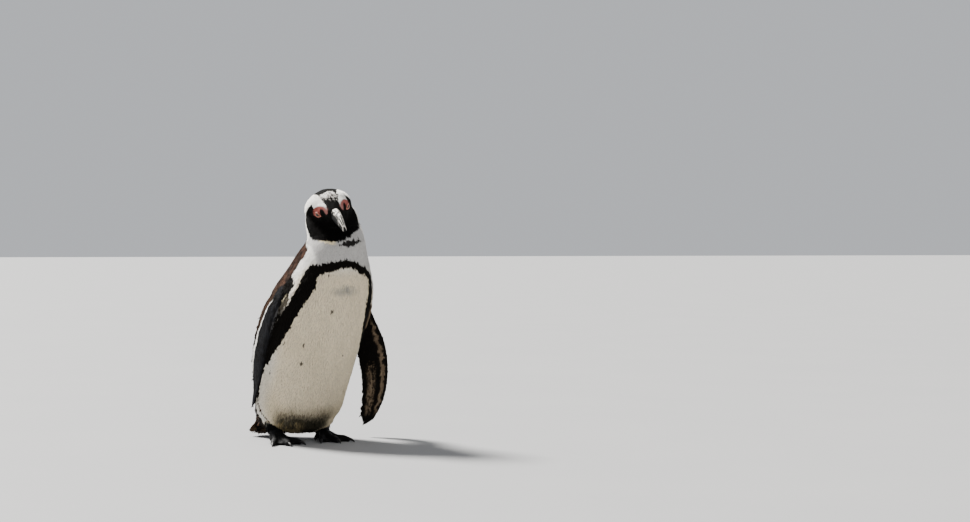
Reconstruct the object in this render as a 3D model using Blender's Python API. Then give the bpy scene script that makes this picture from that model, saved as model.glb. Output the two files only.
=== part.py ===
"""An African penguin standing at rest, life size, as a museum shows it.

The bird faces -Y, its left side is +X and +Z is up. The solids give the outline of the
plumage. Trunk, neck and head are blended into one body and then parted by thin cuts.
Flippers, legs, feet, tail, bill, claws and eyes are separate pieces that meet it.
"""

import math

import bmesh
import bpy
from mathutils import Matrix, Vector

# Driving dimensions, in metres.
GAP = 0.0003                 # width of every thin cut
BODY_VOXEL = 0.0026          # grain of the blended body before it is thinned
BODY_TRIANGLES = 3500
FOOT_VOXEL = 0.0013
FOOT_TRIANGLES = 470
TAIL_VOXEL = 0.0013
TAIL_TRIANGLES = 400
RING_POINTS = 36             # points round a body section
BILL_POINTS = 10
SOLE_DROP = 0.0009           # how far a foot is let down before its sole is cut flat

EYE_CENTRE = Vector((0.0105, -0.0774, 0.3735))   # midpoint between the two eyes
HEAD_TURN = math.radians(-9.3)                   # towards the bird's right
HEAD_BOW = math.radians(15.4)                    # bill below level
HEAD_TILT = math.radians(-16.4)                  # left eye above the right one

EYE_RADIUS = 0.0066
EYE_ASIDE = 0.0211           # eyeball centre from the middle of the head
EYE_AHEAD = 0.0000
EYE_RAISED = 0.0000

# Trunk and neck: height, middle in x and y, half width, half depth to the front and to the back.
BODY_SECTIONS = (
    (0.0190, -0.0140, 0.0150, 0.0200, 0.0190, 0.0170),
    (0.0240, -0.0140, 0.0150, 0.0380, 0.0330, 0.0340),
    (0.0345, -0.0135, 0.0150, 0.0575, 0.0500, 0.0560),
    (0.0520, -0.0124, 0.0125, 0.0682, 0.0640, 0.0730),
    (0.0800, -0.0117, 0.0060, 0.0728, 0.0715, 0.0730),
    (0.1100, -0.0090, -0.0030, 0.0758, 0.0745, 0.0715),
    (0.1450, -0.0055, -0.0130, 0.0793, 0.0765, 0.0740),
    (0.1780, -0.0014, -0.0230, 0.0820, 0.0765, 0.0810),
    (0.2100, 0.0045, -0.0330, 0.0826, 0.0745, 0.0850),
    (0.2450, 0.0106, -0.0430, 0.0788, 0.0685, 0.0840),
    (0.2800, 0.0162, -0.0520, 0.0651, 0.0580, 0.0700),
    (0.3050, 0.0197, -0.0565, 0.0548, 0.0485, 0.0580),
    (0.3270, 0.0245, -0.0575, 0.0459, 0.0430, 0.0430),
    (0.3430, 0.0233, -0.0535, 0.0455, 0.0330, 0.0365),
    (0.3560, 0.0212, -0.0510, 0.0444, 0.0240, 0.0325),
    (0.3680, 0.0212, -0.0510, 0.0418, 0.0180, 0.0300),
    (0.3800, 0.0185, -0.0530, 0.0350, 0.0150, 0.0260),
    (0.3900, 0.0160, -0.0540, 0.0240, 0.0120, 0.0200),
)
RUMP_HEIGHT = 0.125          # below this the back of the body narrows towards the tail
RUMP_POINT = 0.75
SHOULDER_HEIGHT = 0.245      # about here the back is fuller than an ellipse, over the shoulders
SHOULDER_SPREAD = 0.045
SHOULDER_FULL = 0.17
RUMP_LINE = ((-0.012, 0.020, 0.105), (-0.016, 0.042, 0.082), (-0.030, 0.068, 0.056),
             (-0.041, 0.086, 0.036))
RUMP_RADII = (0.045, 0.042, 0.0350, 0.0225)

# Head: distance ahead of the eyes, half width, height above and depth below the eye line.
HEAD_SECTIONS = (
    (-0.0470, 0.0100, 0.0040, 0.0100),
    (-0.0430, 0.0230, 0.0150, 0.0240),
    (-0.0350, 0.0336, 0.0245, 0.0360),
    (-0.0240, 0.0380, 0.0298, 0.0420),
    (-0.0120, 0.0342, 0.0298, 0.0400),
    (0.0000, 0.0252, 0.0268, 0.0340),
    (0.0080, 0.0222, 0.0225, 0.0280),
    (0.0160, 0.0175, 0.0175, 0.0220),
    (0.0240, 0.0122, 0.0122, 0.0165),
    (0.0290, 0.0085, 0.0088, 0.0130),
    (0.0310, 0.0045, 0.0045, 0.0080),
)
HEAD_LEAN = -0.0026            # the back of the head lies this far to the bird's right
HEAD_LEAN_BEHIND = 0.024       # fully so from this far behind the eyes
CROWN_POINT = 1.25             # above the eyes the head narrows faster than an ellipse

# Bill halves: distance ahead of the eyes, half width, upper edge, lower edge.
UPPER_BILL = (
    (0.0180, 0.0064, 0.0085, -0.0052),
    (0.0300, 0.0078, 0.0090, -0.0053),
    (0.0420, 0.0071, 0.0080, -0.0056),
    (0.0550, 0.0061, 0.0064, -0.0065),
    (0.0660, 0.0052, 0.0044, -0.0083),
    (0.0725, 0.0045, 0.0018, -0.0102),
    (0.0790, 0.0034, -0.0030, -0.0126),
    (0.0832, 0.0016, -0.0088, -0.0146),
)
LOWER_BILL = (
    (0.0180, 0.0058, -0.0057, -0.0138),
    (0.0300, 0.0067, -0.0058, -0.0146),
    (0.0420, 0.0061, -0.0061, -0.0146),
    (0.0550, 0.0052, -0.0070, -0.0143),
    (0.0660, 0.0041, -0.0088, -0.0140),
    (0.0725, 0.0027, -0.0107, -0.0134),
)

# Flippers: middle line from shoulder to tip.
LEFT_FLIPPER_LINE = (
    (0.0530, -0.0380, 0.2580), (0.0635, -0.0290, 0.2280), (0.0808, -0.0190, 0.1930),
    (0.1033, -0.0090, 0.1540), (0.1138, -0.0010, 0.1200), (0.1180, 0.0070, 0.0880),
    (0.1150, 0.0120, 0.0560), (0.1040, 0.0160, 0.0215),
)
RIGHT_FLIPPER_LINE = (
    (-0.0400, -0.0480, 0.2680), (-0.0648, -0.0420, 0.2420), (-0.0796, -0.0330, 0.2110),
    (-0.0862, -0.0210, 0.1760), (-0.0883, -0.0060, 0.1420), (-0.0873, 0.0060, 0.1120),
    (-0.0862, 0.0160, 0.0840), (-0.0880, 0.0250, 0.0570),
)
# From the trailing edge to the leading edge, at the shoulder and at the tip.
LEFT_LEADING = (Vector((0.90, -0.44, 0.0)), Vector((0.90, -0.44, 0.0)))
RIGHT_LEADING = (Vector((0.12, -0.99, 0.0)), Vector((-0.35, -0.99, 0.0)))
FLIPPER_TURN_FROM = 0.45       # share of the way to the tip where the turn between them begins
# Share of the way to the tip, chord, thickness.
FLIPPER_SECTIONS = (
    (0.00, 0.0320, 0.0220), (0.12, 0.0430, 0.0150), (0.25, 0.0500, 0.0110),
    (0.40, 0.0500, 0.0090), (0.55, 0.0475, 0.0078), (0.70, 0.0430, 0.0066),
    (0.82, 0.0370, 0.0054), (0.91, 0.0285, 0.0042), (0.96, 0.0205, 0.0034),
    (0.99, 0.0120, 0.0026), (1.00, 0.0040, 0.0020),
)

RIGHT_ANKLE = (-0.0570, -0.0060)
LEFT_ANKLE = (0.0275, 0.0060)
RIGHT_TOE_OUT = math.radians(1.0)
LEFT_TOE_OUT = math.radians(-2.0)
# Toes of a left foot, from the ankle: tip aside, tip ahead, radius.
TOES = ((-0.0215, 0.0520, 0.0052), (0.0020, 0.0640, 0.0057), (0.0250, 0.0540, 0.0050))
CLAW_LENGTH = 0.0125
CLAW_RADIUS = 0.0027

TAIL_ROOT = Vector((-0.0340, 0.0680, 0.0520))
TAIL_END = Vector((-0.0415, 0.1170, 0.0010))
TAIL_BLADES = 9
TAIL_SPREAD = math.radians(23.0)
TAIL_BLADE_WIDTH = 0.0105

BLACK_PLUMAGE = ("black_plumage", (0.020, 0.018, 0.018), 0.55)
WHITE_PLUMAGE = ("white_plumage", (0.700, 0.660, 0.580), 0.65)
BLACK_HORN = ("black_horn", (0.060, 0.060, 0.065), 0.35)
BLACK_SKIN = ("black_skin", (0.030, 0.030, 0.032), 0.50)
EYE_BROWN = ("eye_brown", (0.060, 0.025, 0.012), 0.05)


def clear_scene():
    for item in list(bpy.data.objects):
        bpy.data.objects.remove(item)


def material(finish):
    name, colour, roughness = finish
    found = bpy.data.materials.get(name)
    if found:
        return found
    made = bpy.data.materials.new(name)
    made.use_nodes = True
    shader = made.node_tree.nodes["Principled BSDF"]
    shader.inputs["Base Color"].default_value = (*colour, 1.0)
    shader.inputs["Roughness"].default_value = roughness
    shader.inputs["Metallic"].default_value = 0.0
    return made


def mesh_object(name, mesh, finish=None, helper=False):
    made = bpy.data.objects.new(name, mesh)
    bpy.context.scene.collection.objects.link(made)
    if finish:
        mesh.materials.clear()
        mesh.materials.append(material(finish))
    if helper:
        made.hide_render = True
        made.display_type = "WIRE"
    return made


def smooth_point(rows, place):
    """A Catmull-Rom point at place, from 0 to len(rows) - 1, of rows of numbers."""
    last = len(rows) - 1
    start = min(int(place), last - 1)
    t = place - start
    before, first = rows[max(start - 1, 0)], rows[start]
    second, after = rows[start + 1], rows[min(start + 2, last)]
    return [
        0.5 * (2 * b + (c - a) * t + (2 * a - 5 * b + 4 * c - d) * t ** 2
               + (3 * b - a - 3 * c + d) * t ** 3)
        for a, b, c, d in zip(before, first, second, after)
    ]


def smooth_rows(rows, count):
    last = len(rows) - 1
    return [smooth_point(rows, last * i / (count - 1)) for i in range(count)]


def at_share(rows, share):
    """The row whose first number is share, by straight interpolation."""
    for low, high in zip(rows, rows[1:]):
        if share <= high[0]:
            t = (share - low[0]) / (high[0] - low[0])
            return [a + (b - a) * t for a, b in zip(low, high)]
    return list(rows[-1])


def loft(name, rings, place=None):
    """A closed mesh through rings of equal length, each end closed by a fan to its middle."""
    shape = bmesh.new()
    rows = [[shape.verts.new(point) for point in ring] for ring in rings]
    count = len(rows[0])
    for low, high in zip(rows, rows[1:]):
        for i in range(count):
            after = (i + 1) % count
            shape.faces.new((low[i], low[after], high[after], high[i]))
    for row in (rows[0], rows[-1]):
        middle = shape.verts.new(sum((v.co for v in row), Vector()) / count)
        for i in range(count):
            shape.faces.new((row[i], row[(i + 1) % count], middle))
    bmesh.ops.recalc_face_normals(shape, faces=shape.faces)
    if place:
        bmesh.ops.transform(shape, matrix=place, verts=shape.verts)
    mesh = bpy.data.meshes.new(name)
    shape.to_mesh(mesh)
    shape.free()
    return mesh


def rounded(angle, power):
    """cos(angle) squared off a little: power under 1 makes a fuller section."""
    value = math.cos(angle)
    return math.copysign(abs(value) ** power, value)


def evaluated_mesh(item, name):
    bpy.context.view_layer.update()
    graph = bpy.context.evaluated_depsgraph_get()
    mesh = bpy.data.meshes.new_from_object(item.evaluated_get(graph))
    mesh.name = name
    return mesh


def joined_mesh(name, meshes):
    shape = bmesh.new()
    for mesh in meshes:
        shape.from_mesh(mesh)
    mesh = bpy.data.meshes.new(name)
    shape.to_mesh(mesh)
    shape.free()
    return mesh


def blended(name, meshes, voxel, triangles, rounds):
    """Overlapping closed meshes made one smooth skin, then thinned to about that many triangles."""
    item = mesh_object(name + "_blend", joined_mesh(name, meshes), helper=True)
    remesh = item.modifiers.new("remesh", "REMESH")
    remesh.mode = "VOXEL"
    remesh.voxel_size = voxel
    smooth = item.modifiers.new("smooth", "SMOOTH")
    smooth.factor = 0.5
    smooth.iterations = rounds
    dense = evaluated_mesh(item, name)
    thin = item.modifiers.new("thin", "DECIMATE")
    thin.ratio = triangles / (2 * len(dense.polygons))
    mesh = evaluated_mesh(item, name)
    bpy.data.objects.remove(item)
    return mesh


def grown(mesh, distance):
    """A copy of a closed mesh, moved out along its normals."""
    shape = bmesh.new()
    shape.from_mesh(mesh)
    shape.normal_update()
    for vertex in shape.verts:
        vertex.co += vertex.normal * distance
    made = bpy.data.meshes.new(mesh.name + "_grown")
    shape.to_mesh(made)
    shape.free()
    return made


def combined(mesh, others, operation):
    """The mesh after a Boolean with each of the others."""
    item = mesh_object("worked", mesh, helper=True)
    helpers = []
    for other in others:
        helper = mesh_object("cutter", other, helper=True)
        step = item.modifiers.new("step", "BOOLEAN")
        step.operation = operation
        step.solver = "EXACT"
        step.object = helper
        helpers.append(helper)
    made = evaluated_mesh(item, mesh.name)
    for helper in helpers + [item]:
        bpy.data.objects.remove(helper)
    return made


def largest_piece(mesh):
    """The mesh without the small loose crumbs that a cut can leave."""
    shape = bmesh.new()
    shape.from_mesh(mesh)
    left = set(shape.verts)
    groups = []
    while left:
        seed = left.pop()
        group, todo = {seed}, [seed]
        while todo:
            for edge in todo.pop().link_edges:
                for vertex in edge.verts:
                    if vertex in left:
                        left.discard(vertex)
                        group.add(vertex)
                        todo.append(vertex)
        groups.append(group)
    keep = max(groups, key=len)
    bmesh.ops.delete(shape, geom=[v for v in shape.verts if v not in keep], context="VERTS")
    bmesh.ops.dissolve_degenerate(shape, dist=1e-5, edges=shape.edges)
    bmesh.ops.triangulate(shape, faces=shape.faces)
    shape.to_mesh(mesh)
    shape.free()
    return mesh


def block(name, centre, size, turn=None):
    shape = bmesh.new()
    bmesh.ops.create_cube(shape, size=1.0)
    place = Matrix.Translation(centre) @ (turn or Matrix.Identity(4)) @ Matrix.Diagonal((*size, 1.0))
    bmesh.ops.transform(shape, matrix=place, verts=shape.verts)
    mesh = bpy.data.meshes.new(name)
    shape.to_mesh(mesh)
    shape.free()
    return mesh


def ellipsoid(name, centre, radii, segments=20, rings=12):
    shape = bmesh.new()
    bmesh.ops.create_uvsphere(shape, u_segments=segments, v_segments=rings, radius=1.0)
    place = Matrix.Translation(centre) @ Matrix.Diagonal((*radii, 1.0))
    bmesh.ops.transform(shape, matrix=place, verts=shape.verts)
    mesh = bpy.data.meshes.new(name)
    shape.to_mesh(mesh)
    shape.free()
    return mesh


def above_floor(mesh):
    """The mesh cut flat where it would reach below the floor."""
    floor = block("floor", (0, 0, -0.05), (1.0, 1.0, 0.1))
    return combined(mesh, [floor], "DIFFERENCE")


def head_place():
    """From the head's own frame, which faces -Y like the bird, to where the head is held."""
    return (
        Matrix.Translation(EYE_CENTRE)
        @ Matrix.Rotation(HEAD_TURN, 4, "Z")
        @ Matrix.Rotation(HEAD_BOW, 4, "X")
        @ Matrix.Rotation(HEAD_TILT, 4, "Y")
    )


def trunk_and_neck():
    rings = []
    for height, x, y, wide, front, back in smooth_rows(BODY_SECTIONS, 48):
        pointed = 0.94 + RUMP_POINT * max(0.0, 1 - height / RUMP_HEIGHT)
        full = SHOULDER_FULL * math.exp(-((height - SHOULDER_HEIGHT) / SHOULDER_SPREAD) ** 2)
        ring = []
        for i in range(RING_POINTS):
            angle = 2 * math.pi * i / RING_POINTS
            facing = math.cos(angle) > 0
            ahead = rounded(angle, 0.94 if facing else 0.94 - full)
            aside = rounded(angle - math.pi / 2, 0.94 if facing else pointed - full)
            depth = front if facing else back
            ring.append((x + wide * aside, y - depth * ahead, height))
        rings.append(ring)
    return loft("trunk_and_neck", rings)


def head_form():
    rings = []
    for ahead, wide, above, below in smooth_rows(HEAD_SECTIONS, 26):
        lean = HEAD_LEAN * min(1.0, max(0.0, -ahead / HEAD_LEAN_BEHIND))
        ring = []
        for i in range(RING_POINTS):
            angle = 2 * math.pi * i / RING_POINTS
            up = rounded(angle, 0.96)
            aside = rounded(angle - math.pi / 2, CROWN_POINT if up > 0 else 0.96)
            ring.append((lean + wide * aside, -ahead, (above if up > 0 else below) * up))
        rings.append(ring)
    return loft("head_form", rings, head_place())


def bill_half(name, sections, steps, upward):
    """One half of the bill: an arched outer side over a flat biting side."""
    rings = []
    for ahead, wide, upper, lower in smooth_rows(sections, steps):
        flat, arch = (lower, upper - lower) if upward else (upper, lower - upper)
        ring = []
        for i in range(BILL_POINTS):
            angle = math.pi * i / (BILL_POINTS - 1)
            ring.append((-wide * rounded(angle, 0.80), -ahead, flat + arch * math.sin(angle)))
        rings.append(ring)
    return loft(name, rings, head_place())


def flipper_ring(centre, along, leading, chord, thick):
    """Points round a flipper section: a round leading edge and a thin trailing edge."""
    forward = (leading - along * leading.dot(along)).normalized()
    normal = along.cross(forward).normalized()
    trail = 0.0011
    ring = []
    shares = (0.0, 0.05, 0.16, 0.34, 0.60, 0.88, 1.0)
    for side, row in ((1, shares), (-1, shares[-2:0:-1])):
        for share in row:
            if share < 0.34:
                height = math.sqrt(max(0.0, 1 - ((0.34 - share) / 0.34) ** 2))
            else:
                height = math.cos(math.pi / 2 * (share - 0.34) / 0.66) ** 0.9
            half = max(height * thick / 2, min(trail, thick) / 2 if 0.05 <= share < 1 else 0.0)
            ring.append(centre + forward * chord * (0.5 - share) + normal * half * side)
    return ring


def flipper(name, line, leading):
    steps = 18
    points = [Vector(p) for p in smooth_rows(line, steps * 2 - 1)]
    rings = []
    for i in range(steps):
        here = points[i * 2]
        before = points[max(i * 2 - 1, 0)]
        after = points[min(i * 2 + 1, len(points) - 1)]
        share = i / (steps - 1)
        _, chord, thick = at_share(FLIPPER_SECTIONS, share)
        turn = max(0.0, (share - FLIPPER_TURN_FROM) / (1 - FLIPPER_TURN_FROM)) ** 1.7
        forward = leading[0].lerp(leading[1], turn)
        rings.append(flipper_ring(here, (after - before).normalized(), forward, chord, thick))
    return loft(name, rings)


def toe_points(tip_aside, tip_ahead):
    """Middle line of a toe from the ankle to the tip, arched over the knuckles."""
    return (
        (0.0, 0.004, 0.0125), (tip_aside * 0.22, -tip_ahead * 0.20, 0.0108),
        (tip_aside * 0.50, -tip_ahead * 0.48, 0.0072), (tip_aside * 0.78, -tip_ahead * 0.77, 0.0062),
        (tip_aside, -tip_ahead, 0.0045),
    )


def tube(name, line, radii, sides=12, steps=14):
    rings = []
    points = [Vector(p) for p in smooth_rows(line, steps)]
    sizes = smooth_rows([(r,) for r in radii], steps)
    for i, here in enumerate(points):
        along = (points[min(i + 1, steps - 1)] - points[max(i - 1, 0)]).normalized()
        side = along.cross(Vector((0, 0, 1))).normalized()
        up = side.cross(along)
        rings.append([
            here + sizes[i][0] * (side * math.cos(a) + up * math.sin(a))
            for a in (2 * math.pi * k / sides for k in range(sides))
        ])
    return loft(name, rings)


def web_between(first, second):
    """The web of skin between two toes, hollowed along its front edge."""
    reach = 0.90
    start = Vector((0.0, 0.002, 0.0))
    tips = [Vector((aside * reach, -ahead * reach, 0.0)) for aside, ahead, _ in (first, second)]
    outline = [start, tips[0]]
    hollow = (tips[0] + tips[1]) / 2 * 0.83
    for t in (0.25, 0.5, 0.75):
        outline.append(tips[0] * (1 - t) ** 2 + hollow * 2 * t * (1 - t) + tips[1] * t ** 2)
    outline.append(tips[1])
    shape = bmesh.new()
    low = [shape.verts.new((p.x, p.y, 0.0006)) for p in outline]
    high = [shape.verts.new((p.x, p.y, 0.0038 + 0.0045 * (1 - p.length / 0.06))) for p in outline]
    count = len(outline)
    shape.faces.new(low)
    shape.faces.new(high)
    for i in range(count):
        shape.faces.new((low[i], low[(i + 1) % count], high[(i + 1) % count], high[i]))
    bmesh.ops.recalc_face_normals(shape, faces=shape.faces)
    mesh = bpy.data.meshes.new("web")
    shape.to_mesh(mesh)
    shape.free()
    return mesh


def foot_place(ankle, toe_out, side):
    """side is 1 for the left foot and -1 for the right one, which is its mirror image."""
    return (
        Matrix.Translation((*ankle, -SOLE_DROP))
        @ Matrix.Rotation(toe_out * side, 4, "Z")
        @ Matrix.Diagonal((side, 1.0, 1.0, 1.0))
    )


def foot(name, place):
    parts = []
    for aside, ahead, radius in TOES:
        radii = (radius * 1.30, radius * 1.12, radius * 0.86, radius * 0.98, radius * 0.78)
        parts.append(tube("toe", toe_points(aside, ahead), radii))
    parts.append(web_between(TOES[0], TOES[1]))
    parts.append(web_between(TOES[1], TOES[2]))
    shank = ((0.0, -0.004, 0.0100), (0.0, 0.004, 0.0150), (0.0, 0.010, 0.0240), (0.0, 0.013, 0.0340))
    parts.append(tube("shank", shank, (0.0100, 0.0115, 0.0110, 0.0105)))
    hind_toe = ((-0.006, 0.006, 0.0080), (-0.0125, 0.0000, 0.0052), (-0.0165, -0.0085, 0.0036))
    parts.append(tube("hind_toe", hind_toe, (0.0045, 0.0036, 0.0026)))
    parts.append(ellipsoid("heel", (0.0, 0.008, 0.0085), (0.0105, 0.0125, 0.0090)))
    mesh = blended(name, parts, FOOT_VOXEL, FOOT_TRIANGLES, 3)
    mesh.transform(place)
    if place.determinant() < 0:
        mesh.flip_normals()
    return mesh


def claw_line(aside, ahead):
    tip = Vector((aside, -ahead, 0.0045))
    outward = Vector((aside, -ahead, 0.0)).normalized()
    return [
        tip - outward * 0.0030 + Vector((0, 0, 0.0008)),
        tip + outward * CLAW_LENGTH * 0.45 + Vector((0, 0, 0.0006)),
        tip + outward * CLAW_LENGTH * 0.85 - Vector((0, 0, 0.0018)),
        tip + outward * CLAW_LENGTH - Vector((0, 0, 0.0036)),
    ]


def claw(name, line, place, radius):
    mesh = tube(name, line, (radius, radius * 0.90, radius * 0.50, radius * 0.16), sides=7, steps=5)
    mesh.transform(place)
    if place.determinant() < 0:
        mesh.flip_normals()
    return mesh


def leg(name, ankle):
    """The feathered shank, which shows a little below the belly."""
    inward = 0.004 if ankle[0] < 0 else -0.004
    line = ((ankle[0], ankle[1] + 0.010, 0.0200), (ankle[0] + inward, ankle[1] + 0.014, 0.0340),
            (ankle[0] + 2 * inward, ankle[1] + 0.018, 0.0560))
    return tube(name, line, (0.0145, 0.0200, 0.0235), sides=18, steps=9)


def tail():
    """A wedge of stiff feathers, fanned out and resting on the floor at its end."""
    along = TAIL_END - TAIL_ROOT
    across = Vector((along.y, -along.x, 0.0)).normalized()
    under = along.cross(across).normalized()
    parts = []
    for i in range(TAIL_BLADES):
        share = i / (TAIL_BLADES - 1) - 0.5
        angle = share * TAIL_SPREAD
        length = along.length * (1.04 - 0.95 * share ** 2)
        direction = (along.normalized() * math.cos(angle) + across * math.sin(angle)).normalized()
        side = direction.cross(under).normalized()
        start = TAIL_ROOT + across * share * 0.024 + under * 0.0012 * (i % 2)
        rings = []
        for t, wide, thick in ((0.0, 0.7, 1.6), (0.3, 0.9, 1.5), (0.6, 1.0, 1.1),
                               (0.86, 0.86, 0.8), (0.96, 0.50, 0.6), (1.0, 0.16, 0.45)):
            here = start + direction * length * t
            half = TAIL_BLADE_WIDTH / 2 * wide
            rings.append([
                here + side * half, here + under * 0.0015 * thick,
                here - side * half, here - under * 0.0015 * thick,
            ])
        parts.append(loft("blade", rings))
    rings = []
    for t, wide, thick in ((0.0, 0.030, 0.024), (0.25, 0.026, 0.017), (0.5, 0.022, 0.010),
                           (0.72, 0.018, 0.0045)):
        here = TAIL_ROOT + along * t
        rings.append([
            here + across * wide * math.cos(a) + under * thick * math.sin(a)
            for a in (2 * math.pi * k / 16 for k in range(16))
        ])
    parts.append(loft("coverts", rings))
    return blended("tail", parts, TAIL_VOXEL, TAIL_TRIANGLES, 2)


def eye_centre(side):
    return head_place() @ Vector((EYE_ASIDE * side, -EYE_AHEAD, EYE_RAISED))


def half_space(point, normal, name):
    """A large block on the side of the plane that the normal points to."""
    size = 0.6
    turn = normal.to_track_quat("Z", "Y").to_matrix().to_4x4()
    return block(name, point + normal * size / 2, (size, size, size), turn)


def build():
    clear_scene()
    rump = tube("rump", RUMP_LINE, RUMP_RADII, sides=28, steps=16)
    body = blended("body", [trunk_and_neck(), head_form(), rump], BODY_VOXEL, BODY_TRIANGLES, 9)

    chin_point = head_place() @ Vector((0.0, 0.012, -0.0360))
    chin_normal = (head_place().to_3x3() @ Vector((0.0, 0.25, 1.0))).normalized()
    collar_point = Vector((0.0210, -0.0540, 0.2860))
    collar_normal = Vector((0.02, -0.22, 1.0)).normalized()
    above_chin = half_space(chin_point + chin_normal * GAP / 2, chin_normal, "above_chin")
    below_chin = half_space(chin_point - chin_normal * GAP / 2, -chin_normal, "below_chin")
    above_collar = half_space(collar_point + collar_normal * GAP / 2, collar_normal, "above_collar")
    below_collar = half_space(collar_point - collar_normal * GAP / 2, -collar_normal, "below_collar")

    eyes = {}
    sockets = []
    for side, word in ((1, "left"), (-1, "right")):
        centre = eye_centre(side)
        eyes[word] = ellipsoid("eye", centre, (EYE_RADIUS,) * 3, 14, 9)
        sockets.append(ellipsoid("socket", centre, (EYE_RADIUS + GAP,) * 3, 14, 9))

    head = combined(body.copy(), [above_chin], "INTERSECT")
    head = largest_piece(combined(head, sockets, "DIFFERENCE"))
    neck = largest_piece(combined(combined(body.copy(), [below_chin], "INTERSECT"),
                                  [above_collar], "INTERSECT"))
    trunk = largest_piece(combined(body.copy(), [below_collar], "INTERSECT"))
    grown_head = grown(head, GAP)
    grown_trunk = grown(trunk, GAP)
    grown_neck = grown(neck, GAP)

    nodes = {
        "head": (head, BLACK_PLUMAGE),
        "neck": (neck, WHITE_PLUMAGE),
        "trunk": (trunk, WHITE_PLUMAGE),
    }
    for word in eyes:
        nodes["eye_" + word] = (eyes[word], EYE_BROWN)

    upper = bill_half("bill_upper", UPPER_BILL, 13, upward=True)
    lower = bill_half("bill_lower", LOWER_BILL, 10, upward=False)
    nodes["bill_upper"] = (largest_piece(combined(upper, [grown_head], "DIFFERENCE")), BLACK_HORN)
    nodes["bill_lower"] = (largest_piece(combined(lower, [grown_head], "DIFFERENCE")), BLACK_HORN)

    left = flipper("flipper_left", LEFT_FLIPPER_LINE, LEFT_LEADING)
    right = flipper("flipper_right", RIGHT_FLIPPER_LINE, RIGHT_LEADING)
    for mesh in (left, right):
        cut_free = combined(mesh, [grown_trunk, grown_neck], "DIFFERENCE")
        nodes[mesh.name] = (largest_piece(cut_free), BLACK_PLUMAGE)

    tail_mesh = above_floor(combined(tail(), [grown_trunk], "DIFFERENCE"))
    nodes["tail"] = (largest_piece(tail_mesh), BLACK_PLUMAGE)

    for word, side, ankle, toe_out in (("left", 1, LEFT_ANKLE, LEFT_TOE_OUT),
                                       ("right", -1, RIGHT_ANKLE, RIGHT_TOE_OUT)):
        place = foot_place(ankle, toe_out, side)
        shank = combined(leg("leg_" + word, ankle), [grown_trunk], "DIFFERENCE")
        shank = largest_piece(shank)
        nodes["leg_" + word] = (shank, BLACK_PLUMAGE)
        sole = foot("foot_" + word, place)
        sole = combined(sole, [grown_trunk, grown(shank, GAP)], "DIFFERENCE")
        sole = largest_piece(above_floor(sole))
        nodes["foot_" + word] = (sole, BLACK_SKIN)
        grown_foot = grown(sole, GAP)
        lines = [(claw_line(aside, ahead), CLAW_RADIUS) for aside, ahead, _ in TOES]
        hind = [(-0.0150, -0.0060, 0.0040), (-0.0180, -0.0115, 0.0036),
                (-0.0195, -0.0150, 0.0022), (-0.0200, -0.0170, 0.0010)]
        lines.append((hind, CLAW_RADIUS * 0.62))
        for number, (line, radius) in enumerate(lines, 1):
            name = f"claw_{word}_{number}"
            nail = claw(name, line, place, radius)
            nail = above_floor(combined(nail, [grown_foot], "DIFFERENCE"))
            nodes[name] = (largest_piece(nail), BLACK_HORN)

    place_on_origin(nodes)


def place_on_origin(nodes):
    """Makes the objects, with the origin at the middle of the whole bird's box, on the floor."""
    points = [v.co for mesh, _ in nodes.values() for v in mesh.vertices]
    low = Vector([min(p[i] for p in points) for i in range(3)])
    high = Vector([max(p[i] for p in points) for i in range(3)])
    shift = Matrix.Translation((-(low.x + high.x) / 2, -(low.y + high.y) / 2, -low.z))
    for name, (mesh, finish) in nodes.items():
        mesh.transform(shift)
        mesh.shade_smooth()
        mesh_object(name, mesh, finish)
    print("stance origin moved by", [round(x, 5) for x in shift.translation])


build()
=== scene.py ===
# A standing African penguin: skin, plumage, bill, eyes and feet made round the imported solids.
import math
import bmesh
import bpy
import numpy as np
from mathutils import Matrix, Vector
from mathutils.bvhtree import BVHTree


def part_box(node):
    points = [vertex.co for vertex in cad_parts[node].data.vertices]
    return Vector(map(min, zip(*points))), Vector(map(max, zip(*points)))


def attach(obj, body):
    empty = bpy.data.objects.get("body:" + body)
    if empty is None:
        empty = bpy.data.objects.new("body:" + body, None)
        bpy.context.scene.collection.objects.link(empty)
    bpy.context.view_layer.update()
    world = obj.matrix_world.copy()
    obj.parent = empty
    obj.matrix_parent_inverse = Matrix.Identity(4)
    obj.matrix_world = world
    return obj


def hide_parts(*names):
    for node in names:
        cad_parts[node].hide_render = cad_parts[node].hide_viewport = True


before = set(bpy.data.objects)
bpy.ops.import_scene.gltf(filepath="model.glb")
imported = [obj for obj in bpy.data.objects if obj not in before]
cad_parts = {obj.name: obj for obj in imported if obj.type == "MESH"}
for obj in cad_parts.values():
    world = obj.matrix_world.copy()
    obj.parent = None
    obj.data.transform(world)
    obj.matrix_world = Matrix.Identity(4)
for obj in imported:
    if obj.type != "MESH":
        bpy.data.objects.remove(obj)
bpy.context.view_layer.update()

fleshNodes = ["head", "neck", "trunk", "tail", "flipper_left", "flipper_right",
              "leg_left", "leg_right", "foot_left", "foot_right"]


# places taken from the frame

def nodeMiddle(name):
    low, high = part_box(name)
    return (low + high) / 2


def nodePoints(*names):
    rows = [np.array([v.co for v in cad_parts[n].data.vertices]) for n in names]
    return np.concatenate(rows)


headPose = {"turn": -9.3, "bow": 15.4, "tilt": -16.4}  # degrees about Z, X and Y


def headMatrix():
    turned = Matrix.Translation((nodeMiddle("eye_left") + nodeMiddle("eye_right")) / 2)
    for angle, axis in ((headPose["turn"], "Z"), (headPose["bow"], "X"), (headPose["tilt"], "Y")):
        turned = turned @ Matrix.Rotation(math.radians(angle), 4, axis)
    return turned


headPlace = headMatrix()
headAxes = np.array(headPlace.to_3x3())  # columns: bird's left, back, up
headMiddle = np.array(headPlace.translation)


def toHead(points):
    return (points - headMiddle) @ headAxes


def fromHead(points):
    return np.asarray(points) @ headAxes.T + headMiddle


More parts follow.
